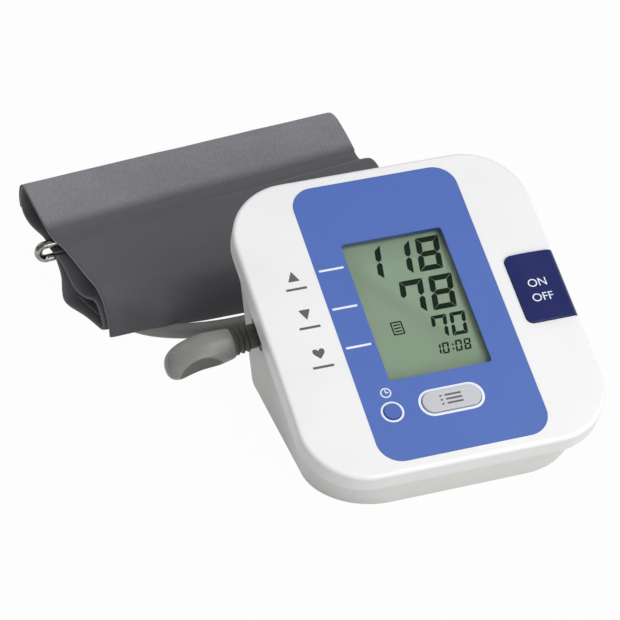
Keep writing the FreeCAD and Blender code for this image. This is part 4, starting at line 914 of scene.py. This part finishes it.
@dataclass(frozen=True)
class FaceMarks:
    """Printing on the face and the keys. Lengths are in millimetres, as places on the face."""

    face: FaceFrame = FACE
    tick_span: tuple[float, float] = (-35.0, -24.2)
    tick_width: float = 1.0
    tick_corner: float = 0.3
    tick_heights: tuple[float, float, float] = (98.0, 79.0, 60.0)
    sign_across: float = -46.5
    sign_size: float = 5.0
    triangle_soft: float = 0.4
    heart_soft: float = 0.5
    note_drop: float = 6.2
    note_width: float = 9.0
    note_height: float = 1.1
    note_corner: float = 0.3
    word_across: float = 53.0
    word_height: float = 3.8
    on_up: float = 72.8
    off_up: float = 65.6
    memory_key: tuple[float, float] = (0.0, 28.0)
    list_pitch: float = 1.9
    list_stroke: float = 0.8
    list_corner: float = 0.3
    list_line: float = 7.0
    list_line_shift: float = 0.9
    list_dot: float = 1.0
    list_dot_shift: float = -4.4
    memory_outline: tuple[float, float] = (28.0, 12.4)
    memory_corner: float = 6.0
    memory_line: float = 1.1
    clock_key: tuple[float, float] = (-25.5, 27.5)
    clock_ring: float = 9.6
    clock_line: float = 0.9
    dial_up: float = 36.5
    dial_size: float = 4.6
    dial_line: float = 0.5
    hand_stroke: float = 0.45
    long_hand: float = 1.5
    short_hand: float = 1.2
    short_hand_shift: float = 0.5

    # Outlines of the signs, in halves of their size
    TRIANGLE = ((-1.0, -1.0), (1.0, -1.0), (0.0, 1.0))
    HEART = (
        (0.0, -1.0), (-1.0, 0.12), (-1.0, 0.8), (-0.4, 1.0), (0.0, 0.5), (0.4, 1.0), (1.0, 0.8), (1.0, 0.12),
    )

    def build(self) -> None:
        """Print every mark."""
        self.print_ticks()
        self.print_signs()
        self.print_start_key()
        self.print_memory_key()
        self.print_clock_key()

    def print_ticks(self) -> None:
        """White lines on the panel that lead from the signs to the display's rows."""
        ink = InkSheet(self.face)
        left, right = self.tick_span
        for height in self.tick_heights:
            ink.bar((left + right) / 2, height, right - left, self.tick_width, self.tick_corner)
        ink.piece("panel_tick_lines", Finishes.WHITE_INK, Body.CASE, "case_white", "face_panel")

    def print_signs(self) -> None:
        """Grey signs left of the panel: upper pressure, lower pressure and pulse."""
        ink = InkSheet(self.face)
        half = self.sign_size / 2
        upper, lower, pulse = self.tick_heights
        rise = [(x * half, y * half) for x, y in self.TRIANGLE]
        fall = [(x, -y) for x, y in rise]
        heart = [(x * half, y * half) for x, y in self.HEART]
        ink.polygon(rise, self.sign_across, upper, soft=self.triangle_soft)
        ink.polygon(fall, self.sign_across, lower, soft=self.triangle_soft)
        ink.polygon(heart, self.sign_across, pulse, soft=self.heart_soft)
        for height in self.tick_heights:
            ink.bar(self.sign_across, height - self.note_drop, self.note_width, self.note_height,
                    self.note_corner)
        ink.piece("face_signs", Finishes.GREY_INK, Body.CASE, "case_white", "top_cover")

    def print_start_key(self) -> None:
        """White words for on and off on the navy key."""
        ink = InkSheet(self.face)
        ink.words("ON", self.word_across, self.on_up, self.word_height)
        ink.words("OFF", self.word_across, self.off_up, self.word_height)
        ink.piece("start_key_words", Finishes.WHITE_INK, Body.START_KEY, "navy_key", "start_stop_button")

    def print_memory_key(self) -> None:
        """A list sign on the pale key, and a white line round its opening."""
        across, up = self.memory_key
        ink = InkSheet(self.face)
        for step in (-1, 0, 1):
            row = up + self.list_pitch * step
            ink.bar(across + self.list_line_shift, row, self.list_line, self.list_stroke, self.list_corner)
            ink.bar(across + self.list_dot_shift, row, self.list_dot, self.list_stroke, self.list_corner)
        ink.piece("memory_key_sign", Finishes.GREY_INK, Body.MEMORY_KEY, "pale_key", "memory_button")
        line = InkSheet(self.face)
        line.outline(across, up, *self.memory_outline, self.memory_corner, self.memory_line)
        line.piece("memory_key_outline", Finishes.WHITE_INK, Body.CASE, "panel_blue", "face_panel")

    def print_clock_key(self) -> None:
        """A white ring round the small key, and a clock sign above it."""
        across, up = self.clock_key
        ink = InkSheet(self.face)
        ink.ring(across, up, self.clock_ring, self.clock_line)
        ink.ring(across, self.dial_up, self.dial_size, self.dial_line)
        ink.bar(across, self.dial_up + self.long_hand / 2, self.hand_stroke, self.long_hand)
        ink.bar(across + self.short_hand_shift, self.dial_up, self.short_hand, self.hand_stroke)
        ink.piece("clock_key_marks", Finishes.WHITE_INK, Body.CASE, "panel_blue", "face_panel")


@dataclass(frozen=True)
class Digit:
    """A seven-segment numeral. Lengths are in millimetres, lean and softness are shares."""

    width: float
    height: float
    stroke: float
    gap: float = 0.1
    lean: float = 0.18
    softness: float = 0.12

    # Segments that are dark in each numeral
    LIT = {
        0: "abcdef", 1: "bc", 2: "abdeg", 3: "abcdg", 4: "bcfg",
        5: "acdfg", 6: "acdefg", 7: "abcf", 8: "abcdefg", 9: "abcdfg",
    }

    def segments(self) -> dict[str, list[tuple[float, float]]]:
        """Draw the segments.

        Returns:
            The corners of each of the seven, from the numeral's lower left corner.
        """
        wide, high, stroke, gap = self.width, self.height, self.stroke, self.gap
        middle = high / 2
        half = stroke / 2
        inner = stroke + gap
        top = [(gap, high), (wide - gap, high), (wide - inner, high - stroke), (inner, high - stroke)]
        upper = [
            (0.0, high - gap), (stroke, high - inner), (stroke, middle + half + gap), (half, middle + gap),
            (0.0, middle + half),
        ]
        bar = [
            (half + gap, middle), (inner, middle + half), (wide - inner, middle + half),
            (wide - half - gap, middle), (wide - inner, middle - half), (inner, middle - half),
        ]
        lower = [(x, high - y) for x, y in upper]
        return {
            "a": top,
            "b": [(wide - x, y) for x, y in upper],
            "c": [(wide - x, y) for x, y in lower],
            "d": [(x, high - y) for x, y in top],
            "e": lower,
            "f": upper,
            "g": bar,
        }

    def print_on(self, ink: InkSheet, value: int, right: float, bottom: float) -> None:
        """Print one numeral on a sheet.

        Args:
            ink: The sheet.
            value: The numeral.
            right: The place of its right edge across the face.
            bottom: The place of its bottom up the face.
        """
        shapes = self.segments()
        soft = self.stroke * self.softness
        for name in self.LIT[value]:
            ink.polygon(shapes[name], right - self.width, bottom, lean=self.lean, soft=soft)


@dataclass(frozen=True)
class DisplayRow:
    """A row of numerals in the display. Lengths are in millimetres, as places on the face."""

    digit: Digit
    values: tuple[int, ...]
    right: float
    bottom: float
    pitch: float

    def print_on(self, ink: InkSheet) -> None:
        """Print the row's numerals on a sheet, from the right."""
        for place, value in enumerate(reversed(self.values)):
            self.digit.print_on(ink, value, self.right - self.pitch * place, self.bottom)


@dataclass(frozen=True)
class DisplayMarks:
    """Plain numbers and a list sign in the display. Lengths are in millimetres, as places on the face."""

    face: FaceFrame = FACE
    thickness: float = 0.04
    large: Digit = Digit(width=10.3, height=16.4, stroke=2.55)
    medium: Digit = Digit(width=6.7, height=10.9, stroke=1.65)
    small: Digit = Digit(width=2.9, height=5.2, stroke=0.8, gap=0.06)
    clock_bottom: float = 50.9
    colon_across: float = 9.4
    colon_steps: tuple[float, float] = (1.5, 3.6)
    colon_dot: float = 0.8
    page: tuple[float, float] = (-10.0, 66.8)
    page_size: tuple[float, float] = (5.0, 6.4)
    page_line: float = 0.6
    page_corner: float = 0.6
    page_row: float = 2.9
    page_pitch: float = 1.5

    def rows(self) -> list[DisplayRow]:
        """Upper pressure, lower pressure, pulse, minutes and hours."""
        return [
            DisplayRow(self.large, (1, 1, 8), right=18.2, bottom=91.1, pitch=13.0),
            DisplayRow(self.large, (7, 8), right=17.8, bottom=71.8, pitch=13.0),
            DisplayRow(self.medium, (7, 0), right=18.2, bottom=58.4, pitch=8.2),
            DisplayRow(self.small, (0, 8), right=17.2, bottom=self.clock_bottom, pitch=3.8),
            DisplayRow(self.small, (1, 0), right=7.7, bottom=self.clock_bottom, pitch=3.5),
        ]

    def build(self) -> None:
        """Print the numbers, the clock's colon and the list sign."""
        ink = InkSheet(self.face, self.thickness)
        for row in self.rows():
            row.print_on(ink)
        for step in self.colon_steps:
            across = self.colon_across + self.small.lean * step
            ink.bar(across, self.clock_bottom + step, self.colon_dot, self.colon_dot)
        across, up = self.page
        ink.outline(across, up, *self.page_size, self.page_corner, self.page_line)
        for step in (-1, 0, 1):
            ink.bar(across, up + self.page_pitch * step, self.page_row, self.page_line)
        ink.piece("display_segments", Finishes.SEGMENT, Body.CASE, "lcd", "lcd_glass")


def smooth_section(points: Sequence[tuple[float, float]], closed: bool) -> list[tuple[float, float]]:
    """Read a smooth line from a section's few points.

    Args:
        points: The two coordinates of each point, in millimetres.
        closed: Whether the line comes back to its start.

    Returns:
        Closely spaced points along the line.
    """
    curve = bpy.data.curves.new("section_line", "CURVE")
    curve.dimensions = "3D"
    curve.resolution_u = SECTION_STEPS
    spline = curve.splines.new("NURBS")
    spline.points.add(len(points) - 1)
    for point, (first, second) in zip(spline.points, points):
        point.co = (first, second, 0.0, 1.0)
    spline.order_u = CURVE_ORDER
    spline.use_endpoint_u = not closed
    spline.use_cyclic_u = closed
    mesh = mesh_of_curve(curve)
    line = [(vert.co.x, vert.co.y) for vert in mesh.vertices]
    bpy.data.meshes.remove(mesh)
    if closed:
        line.append(line[0])
    return line


@dataclass(frozen=True)
class AirPlug:
    """The air plug in the left wall: pin, collar, ribs, a grip with a finger rest, and the hose's outlet.

    Lengths are in millimetres, angles in radians. Distances along the plug count outwards from the wall, and
    the spans of a groove and its rib from the end of what comes before them.
    """

    wall: tuple[float, float, float] = (-61.49, 15.4, 39.2)
    tilt: float = math.radians(9.0)
    pin_length: float = 7.0
    pin_radius: float = 4.0
    collar_length: float = 4.0
    collar_radius: float = 5.2
    rib_count: int = 3
    rib_pitch: float = 2.3
    rib_span: tuple[float, float] = (1.0, 2.1)
    rib_radius: float = 5.9
    groove_span: tuple[float, float] = (0.1, 0.8)
    groove_radius: float = 5.0
    droop_start: float = 20.0
    droop: float = 2.8
    rest_turn: float = math.radians(-30.0)
    rest_middle: float = 28.0
    rest_half: float = 12.0
    rest_depth: float = 3.0
    outlet_along: float = 24.0
    steps: int = 96

    # Finishes of the grip, of the collar and its ribs, and of the finger rest
    FINISHES = (Finishes.PLUG, Finishes.PLUG_DARK, Finishes.PLUG_REST_PAINTED_SHADE)

    # Distance within which points on the axis become one
    MERGE = 0.001

    # The grip's outline: distance along the plug and radius
    GRIP = (
        (10.9, 5.2), (11.0, 6.5), (16.0, 7.0), (22.0, 7.8), (28.0, 7.9), (34.0, 7.4), (38.8, 5.8),
        (41.0, 2.6), (41.0, 0.0),
    )

    # The outlet's outline from inside the grip, with a lip where the hose goes in
    OUTLET = (
        (4.0, 0.0), (4.0, 4.7), (9.4, 4.5), (10.2, 4.8), (11.6, 4.8), (12.1, 4.4), (12.2, 3.4), (12.2, 0.0),
    )

    # Direction in which the hose leaves the grip
    OUTLET_WAY = (0.219, 0.784, -0.581)

    def axes(self) -> Matrix:
        """Place the plug's axes: along it, to the front and upwards.

        Returns:
            The axes at the wall, in metres.
        """
        along = Vector((-math.cos(self.tilt), 0.0, -math.sin(self.tilt)))
        front = Vector((0.0, -1.0, 0.0))
        turn = Matrix((along, front, along.cross(front))).transposed().to_4x4()
        return Matrix.Translation(Vector(self.wall) * MM) @ turn

    def root_outline(self) -> list[tuple[float, float]]:
        """Draw the outline of the pin, the collar and the ribs.

        Returns:
            Distances along the plug and radii, from the pin's tip outwards.
        """
        points = [(-self.pin_length, 0.0), (-self.pin_length, self.pin_radius), (0.0, self.pin_radius)]
        points += [(0.0, self.collar_radius), (self.collar_length, self.collar_radius)]
        for index in range(self.rib_count):
            start = self.collar_length + index * self.rib_pitch
            points += [(start + along, self.groove_radius) for along in self.groove_span]
            points += [(start + along, self.rib_radius) for along in self.rib_span]
        return points

    def turned(self, outline: Sequence[tuple[float, float]]) -> bmesh.types.BMesh:
        """Turn an outline round its own axis.

        Args:
            outline: Distances along the axis and radii.

        Returns:
            The closed turned shape, in millimetres.
        """
        bm = bmesh.new()
        verts = [bm.verts.new((along, radius, 0.0)) for along, radius in outline]
        edges = [bm.edges.new(pair) for pair in zip(verts, verts[1:])]
        bmesh.ops.spin(bm, geom=verts + edges, cent=(0.0, 0.0, 0.0), axis=(1.0, 0.0, 0.0), angle=math.tau,
                       steps=self.steps, use_merge=True)
        bmesh.ops.remove_doubles(bm, verts=bm.verts[:], dist=self.MERGE)
        bmesh.ops.recalc_face_normals(bm, faces=bm.faces[:])
        return bm

    def shape_grip(self, bm: bmesh.types.BMesh) -> None:
        """Press the finger rest into the grip, let its end droop, and mark the parts with other finishes.

        Args:
            bm: The turned plug, in millimetres.
        """
        way = Vector((0.0, math.cos(self.rest_turn), math.sin(self.rest_turn)))
        full = max(radius for along, radius in self.GRIP)
        root, tip = self.GRIP[0][0], self.GRIP[-1][0]
        pressed = set()
        for vert in bm.verts:
            along = vert.co.x
            place = (along - self.rest_middle) / self.rest_half
            depth = vert.co.dot(way) - full + self.rest_depth * (1 - place * place)
            if along > root and depth > 0:
                vert.co -= way * depth
                pressed.add(vert)
            past = max(0.0, along - self.droop_start) / (tip - self.droop_start)
            vert.co.z -= self.droop * past * past
        for face in bm.faces:
            if face.calc_center_median().x < root:
                face.material_index = self.FINISHES.index(Finishes.PLUG_DARK)
            elif pressed.issuperset(face.verts):
                face.material_index = self.FINISHES.index(Finishes.PLUG_REST_PAINTED_SHADE)

    def build(self) -> bpy.types.Object:
        """Make the plug as one moulded piece.

        Returns:
            The plug.
        """
        bm = self.turned(self.root_outline() + smooth_section(self.GRIP, closed=False))
        self.shape_grip(bm)
        size = Matrix.Scale(MM, 4)
        bmesh.ops.transform(bm, matrix=self.axes() @ size, verts=bm.verts[:])
        outlet = self.turned(self.OUTLET)
        foot = Matrix.Translation(self.axes() @ Vector((self.outlet_along * MM, 0.0, 0.0)))
        turn = Vector(self.OUTLET_WAY).to_track_quat("X", "Z").to_matrix().to_4x4()
        bmesh.ops.transform(outlet, matrix=foot @ turn @ size, verts=outlet.verts[:])
        join(bm, outlet)
        plug = add_piece("air_plug_moulded", bm, self.FINISHES, Body.CASE)
        round_off(plug)
        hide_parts("air_plug")
        return plug


@dataclass(frozen=True)
class AirHose:
    """The air hose from the plug to the cuff. Lengths are in millimetres."""

    diameter: float = 7.0
    length: float = 530.0

    # Blender's counts of steps round the hose, and between two points of its route
    ROUND_STEPS = 6
    ROUTE_STEPS = 8

    # The route's points from the plug's outlet, behind the case, round, and back to the cuff
    ROUTE = (
        (-82.48, 24.81, 28.47), (-79.52, 35.39, 20.63), (-75.6, 47.0, 12.0), (-68.4, 57.4, 5.4),
        (-56.8, 63.6, 3.6), (-40.0, 66.8, 3.6), (-16.0, 68.8, 3.6), (12.0, 69.2, 3.6),
        (36.0, 67.8, 3.6), (57.0, 64.2, 3.6), (75.5, 64.9, 3.6), (87.5, 72.4, 3.6),
        (95.0, 86.5, 3.6), (99.2, 107.0, 3.6), (99.6, 133.9, 3.6), (93.0, 145.9, 3.6),
        (81.6, 152.9, 3.6), (68.6, 152.9, 3.6), (57.2, 145.9, 3.6), (51.7, 133.9, 3.6),
        (51.9, 116.0, 3.6), (51.7, 97.1, 3.6), (44.8, 85.2, 3.6), (32.9, 78.9, 3.6),
        (12.0, 79.2, 3.6), (-12.0, 78.8, 3.6), (-34.0, 75.8, 3.6), (-55.0, 73.4, 3.6),
        (-74.0, 75.2, 3.7), (-86.0, 79.3, 4.2), (-94.5, 84.2, 4.7), (-98.8, 89.2, 5.0),
    )

    def build(self, plug: bpy.types.Object) -> None:
        """Args:
            plug: The plug on its first end. It is not used.
        """
        curve = bpy.data.curves.new("air_hose", "CURVE")
        curve.dimensions = "3D"
        curve.bevel_depth = self.diameter / 2 * MM
        curve.bevel_resolution = self.ROUND_STEPS
        curve.resolution_u = self.ROUTE_STEPS
        curve.use_fill_caps = True
        spline = curve.splines.new("NURBS")
        spline.points.add(len(self.ROUTE) - 1)
        for point, spot in zip(spline.points, self.ROUTE):
            point.co = (*(Vector(spot) * MM), 1.0)
        spline.order_u = CURVE_ORDER
        spline.use_endpoint_u = True
        curve.materials.append(Finishes.HOSE.material())
        hose = bpy.data.objects.new("air_hose", curve)
        bpy.context.scene.collection.objects.link(hose)
        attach(hose, Body.CASE.value)
        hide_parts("hose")
        LOG.info("built air_hose")


@dataclass(frozen=True)
class CuffFrame:
    """The cuff's own axes: across its width, along its slanting reach, and up. Lengths are in millimetres."""

    left: float = -108.6
    width: float = 146.0
    front: float = 87.7
    slant: float = math.radians(16.7)

    def point(self, share: float, reach: float, height: float) -> Vector:
        """Point of the cuff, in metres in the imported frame.

        Args:
            share: Place across the width, from 0 at the left end to 1 at the right.
            reach: Distance back from the front edge.
            height: Height over the table.

        Returns:
            The point.
        """
        across = self.left + self.width * share - math.sin(self.slant) * reach
        return Vector((across, self.front + math.cos(self.slant) * reach, height)) * MM


@dataclass(frozen=True)
class ClothBand:
    """A band of cloth over the cuff's width, from its section at the left end and at the right end.

    Sections list reach and height at the left end, then at the right end, in millimetres. Ripple is the
    depth of the cloth's slow waves, and seed picks them. Inset is how far the band stays inside the cuff's
    ends. Arch is how far the first edge rises where it lies over the hose. Flare is how far the left end
    bulges out.
    """

    name: str
    section: tuple[tuple[float, float, float, float], ...]
    thickness: float
    ripple: float
    seed: float
    closed: bool = False
    inset: float = 0.0
    arch: float = 0.0
    arch_middle: float = 21.0
    arch_width: float = 13.0
    arch_fade: float = 21.0
    flare: float = 0.0
    flare_middle: float = 27.0
    flare_width: float = 9.0
    steps: int = 44
    cuff: CuffFrame = CuffFrame()

    # How far the edge also moves forward for each millimetre of the arch's rise
    ARCH_FORWARD = 1.27

    # Part of the width over which the left end's flare fades out
    FLARE_REACH = 0.14

    # Lengths of the broad and the fine waves, across the band and along its section
    BROAD_WAVE = (52.0, 30.0)
    FINE_WAVE = (17.0, 13.0)

    # Step from the broad waves' seed to the fine ones', and the fine waves' share of the ripple
    FINE_SEED = 5.0
    FINE_SHARE = 0.3

    # Share of the waves' depth that is left at the band's ends
    END_SHARE = 0.45

    def arch_share(self, across: float, along: float) -> float:
        """Share of the arch's full rise at a place.

        Args:
            across: Place across the band, in millimetres.
            along: Place along its section, in millimetres.

        Returns:
            A share from 0 to 1.
        """
        aside = (across - self.arch_middle) / self.arch_width
        near = max(0.0, 1 - along / self.arch_fade)
        return math.exp(-aside * aside) * near * near * (3 - 2 * near)

    def flare_share(self, share: float, along: float) -> float:
        """Part of the width by which the left end bulges out at a place.

        Args:
            share: Place across the band, from 0 to 1.
            along: Place along its section, in millimetres.

        Returns:
            The bulge as a share of the width.
        """
        aside = (along - self.flare_middle) / self.flare_width
        near = max(0.0, 1 - share / self.FLARE_REACH)
        return self.flare / self.cuff.width * near * near * math.exp(-aside * aside)

    def lines(self) -> tuple[list[tuple[float, float]], list[tuple[float, float]]]:
        """Draw the section's smooth lines.

        Returns:
            The lines of the left end and the right end, as reaches and heights.
        """
        left = smooth_section([spot[:2] for spot in self.section], self.closed)
        right = smooth_section([spot[2:] for spot in self.section], self.closed)
        return left, right

    def flat_length(self) -> float:
        """Measure the cloth along its section.

        Returns:
            The mean length of its ends, in millimetres.
        """
        lengths = []
        for line in self.lines():
            lengths.append(sum(math.dist(a, b) for a, b in zip(line, line[1:])))
        return sum(lengths) / 2

    def wave(self, across: float, along: float, share: float) -> float:
        """Depth of the cloth's slow waves at a place.

        Args:
            across: Place across the band, in millimetres.
            along: Place along its section, in millimetres.
            share: Place across the band, from 0 to 1.

        Returns:
            The depth in millimetres.
        """
        wide, long = self.BROAD_WAVE
        broad = noise.noise(Vector((across / wide, along / long, self.seed)))
        wide, long = self.FINE_WAVE
        fine = noise.noise(Vector((across / wide, along / long, self.seed + self.FINE_SEED)))
        fade = self.END_SHARE + (1 - self.END_SHARE) * math.sin(math.pi * share)
        return self.ripple * (broad + self.FINE_SHARE * fine) * fade

    def build_mesh(self, first: float = 0.0, last: float = 1.0, lift: float = 0.0,
                   sink: float = 0.0) -> bmesh.types.BMesh:
        """Shape a flat grid into the band.

        Args:
            first: Share of the section where the mesh begins.
            last: Share of the section where it ends.
            lift: Distance off the band's middle layer, in millimetres.
            sink: How far the first edge lies below that, in millimetres.

        Returns:
            The band as one layer with its cloth coordinates in metres.
        """
        left, right = self.lines()
        begin = round(first * (len(left) - 1))
        end = round(last * (len(left) - 1))
        rows = end - begin
        lengths = [0.0]
        for index in range(len(left) - 1):
            lengths.append(lengths[-1] + math.dist(left[index], left[index + 1]))
        bm = bmesh.new()
        bmesh.ops.create_grid(bm, x_segments=self.steps, y_segments=rows, size=1.0)
        uv = bm.loops.layers.uv.new("UVMap")
        edge = self.inset / self.cuff.width
        spots = {}
        for vert in bm.verts:
            share = edge + (1 - 2 * edge) * (vert.co.x + 1) / 2
            row = begin + round((vert.co.y + 1) / 2 * rows)
            spots[vert] = (share, row)
        for face in bm.faces:
            for loop in face.loops:
                share, row = spots[loop.vert]
                loop[uv].uv = (share * self.cuff.width * MM, (lengths[row] - lengths[begin]) * MM)
        for vert, (share, row) in spots.items():
            depth = lift - sink if row == begin else lift
            vert.co = self.surface_point(left, right, share, row, lengths[row], depth)
        return bm

    def build_piece(self, finishes: Sequence[Finish], slot: str, rim: int = 0) -> bpy.types.Object:
        """Make the whole band a piece of the object.

        Args:
            finishes: Its materials, in the order of the faces' material numbers.
            slot: The record's material slot it belongs to. It is not used.
            rim: Step from a face's material number to that of the cut edge beside it.

        Returns:
            The new object.
        """
        piece = add_piece(self.name, self.build_mesh(), finishes, Body.CASE)
        thicken(piece, self.thickness, rim)
        return piece

    def surface_point(self, left: list[tuple[float, float]], right: list[tuple[float, float]], share: float,
                      row: int, along: float, lift: float) -> Vector:
        """Point of the rippled band.

        Args:
            left: The left end's line.
            right: The right end's line.
            share: Place across the band, from 0 to 1.
            row: Number of the point along the line.
            along: Its distance along the line, in millimetres.
            lift: Distance off the middle layer, in millimetres.

        Returns:
            The point in metres.
        """
        def between(index: int) -> tuple[float, float]:
            """Find the place on the section between the two ends.

            Args:
                index: Number of the point along the lines, kept within them.

            Returns:
                Its reach and height.
            """
            index = max(0, min(len(left) - 1, index))
            (reach_a, high_a), (reach_b, high_b) = left[index], right[index]
            return reach_a + (reach_b - reach_a) * share, high_a + (high_b - high_a) * share

        reach, height = between(row)
        before, after = between(row - 1), between(row + 1)
        if self.closed and row in (0, len(left) - 1):
            before, after = between(len(left) - 2), between(1)
        run = (after[0] - before[0], after[1] - before[1])
        size = math.hypot(*run) or 1.0
        depth = lift + self.wave(share * self.cuff.width, along, share)
        swell = self.arch_share(share * self.cuff.width, along) * self.arch
        reach -= run[1] / size * depth + self.ARCH_FORWARD * swell
        spread = share - self.flare_share(share, along)
        return self.cuff.point(spread, reach, height + run[0] / size * depth + swell)


# Section of the outer flap from its foot in front, up over the crease and the lobe, to the tongue inside
FLAP_SECTION = (
    (-0.9, 0.2, -0.5, 0.2), (-1.1, 1.4, -0.7, 1.4), (-1.0, 3.2, -0.7, 3.2), (-0.6, 7.0, -0.5, 7.0),
    (1.2, 13.2, 3.0, 14.6), (3.6, 18.8, 7.6, 21.4), (8.2, 22.0, 13.4, 28.0), (16.0, 22.9, 19.6, 34.0),
    (24.0, 25.0, 26.0, 40.2), (31.0, 26.7, 31.0, 45.0), (35.5, 27.5, 35.5, 46.4), (40.0, 27.2, 40.0, 43.8),
    (44.0, 27.0, 44.0, 40.8), (48.0, 28.2, 48.0, 41.8), (55.0, 32.6, 55.0, 47.6), (61.0, 36.8, 60.4, 51.4),
    (66.8, 41.0, 65.0, 54.0), (70.6, 42.6, 69.2, 53.8), (72.2, 39.2, 72.0, 50.6), (72.9, 33.6, 72.6, 45.0),
    (71.4, 28.2, 71.2, 41.2), (67.4, 25.2, 67.4, 38.8), (61.6, 24.2, 61.0, 37.4), (54.4, 24.4, 54.4, 37.4),
    (51.2, 23.6, 51.2, 36.8), (48.6, 21.0, 48.6, 34.4), (46.0, 20.2, 46.0, 33.6), (44.4, 19.9, 44.4, 33.3),
)

# Section of the arm loop's middle layer, from its front lower corner round the table side
LOOP_SECTION = (
    (3.8, 3.2, 4.6, 3.4), (4.6, 0.9, 5.4, 0.95), (9.0, 0.7, 10.0, 0.7), (21.0, 0.7, 22.0, 0.7),
    (29.5, 0.7, 29.5, 0.7), (34.6, 1.6, 35.4, 1.6), (37.2, 5.8, 38.6, 6.5), (38.4, 11.2, 40.4, 16.5),
    (41.2, 15.6, 42.0, 25.0), (43.2, 18.4, 43.4, 30.4), (42.4, 20.2, 42.6, 32.0), (38.6, 18.8, 38.6, 28.6),
    (34.4, 15.6, 34.4, 23.6), (30.4, 11.6, 30.4, 18.6), (25.4, 9.9, 25.4, 15.4), (19.0, 10.2, 19.0, 15.6),
    (13.0, 12.9, 13.0, 16.8), (9.2, 13.5, 9.2, 17.0), (6.6, 10.8, 7.0, 13.4), (4.6, 6.6, 5.2, 8.0),
)

# Reaches of the level layers inside the loop, from front to rear
INSIDE_REACHES = (12.4, 22.0, 32.2)


def level_section(height: float) -> tuple[tuple[float, float, float, float], ...]:
    """Section of a level layer inside the loop, at a height over the table in millimetres."""
    return tuple((reach, height, reach, height) for reach in INSIDE_REACHES)


@dataclass(frozen=True)
class Cuff:
    """The folded cuff: outer flap, pile panel, arm loop, lining and bladder.

    The panel's first and last are shares of the flap's section, and its other sizes are in millimetres.
    """

    flap: ClothBand = ClothBand(
        "cuff_flap_cloth", FLAP_SECTION, thickness=1.8, ripple=0.5, seed=1.7, arch=7.5)
    loop: ClothBand = ClothBand(
        "cuff_loop_cloth", LOOP_SECTION, thickness=1.2, ripple=0.3, seed=8.3, closed=True, flare=2.4)
    bladder: ClothBand = ClothBand(
        "air_bladder_pad", level_section(2.2), thickness=1.2, ripple=0.05, seed=3.1, inset=11.0)
    lining: ClothBand = ClothBand(
        "cuff_lining_cloth", level_section(3.5), thickness=0.6, ripple=0.1, seed=4.4, inset=3.0)
    panel_first: float = 0.485
    panel_last: float = 0.74
    panel_thickness: float = 0.3
    panel_sink: float = 0.4

    def build(self) -> None:
        """Make every soft piece of the cuff."""
        self.build_flap()
        self.build_loop()
        self.build_inside()

    def build_flap(self) -> None:
        """The outer flap and its pile panel."""
        cloth = self.flap.build_piece([Finishes.NYLON, Finishes.EDGE], "cuff_cloth", rim=1)
        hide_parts("cuff_flap")
        lift = (self.flap.thickness + self.panel_thickness) / 2
        mesh = self.flap.build_mesh(self.panel_first, self.panel_last, lift, self.panel_sink)
        panel = add_piece("cuff_pile_panel", mesh, [Finishes.PILE], Body.CASE)
        thicken(panel, self.panel_thickness)
        size = self.flap.flat_length()
        LOG.info("flap cut to %.0f by %.0f mm", self.flap.cuff.width, size)

    def build_loop(self) -> None:
        """The inner loop that goes round the arm."""
        cloth = self.loop.build_piece([Finishes.NYLON_BACK_PAINTED_LIGHT, Finishes.EDGE], "cuff_cloth", rim=1)
        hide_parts("cuff_arm_loop")
        size = self.loop.flat_length()
        LOG.info("loop cut to %.0f by %.0f mm", self.loop.cuff.width, size)

    def build_inside(self) -> None:
        """The flat bladder and the lining over it, inside the loop."""
        bladder = self.bladder.build_piece([Finishes.RUBBER], "bladder_rubber")
        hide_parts("air_bladder")
        lining = self.lining.build_piece([Finishes.NYLON_BACK_PAINTED_LIGHT], "cuff_cloth")
        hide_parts("cuff_lining")
        self.lining.flat_length() * MM


def main() -> None:
    """Build the scene, piece by piece."""
    logging.basicConfig(level=logging.INFO, format="%(message)s")
    Viewpoint().build()
    AirHose().build(AirPlug().build())
    dress_nodes()
    FaceMarks().build()
    DisplayMarks().build()
    Cuff().build()
    Studio().build()


if __name__ == "__main__":
    main()
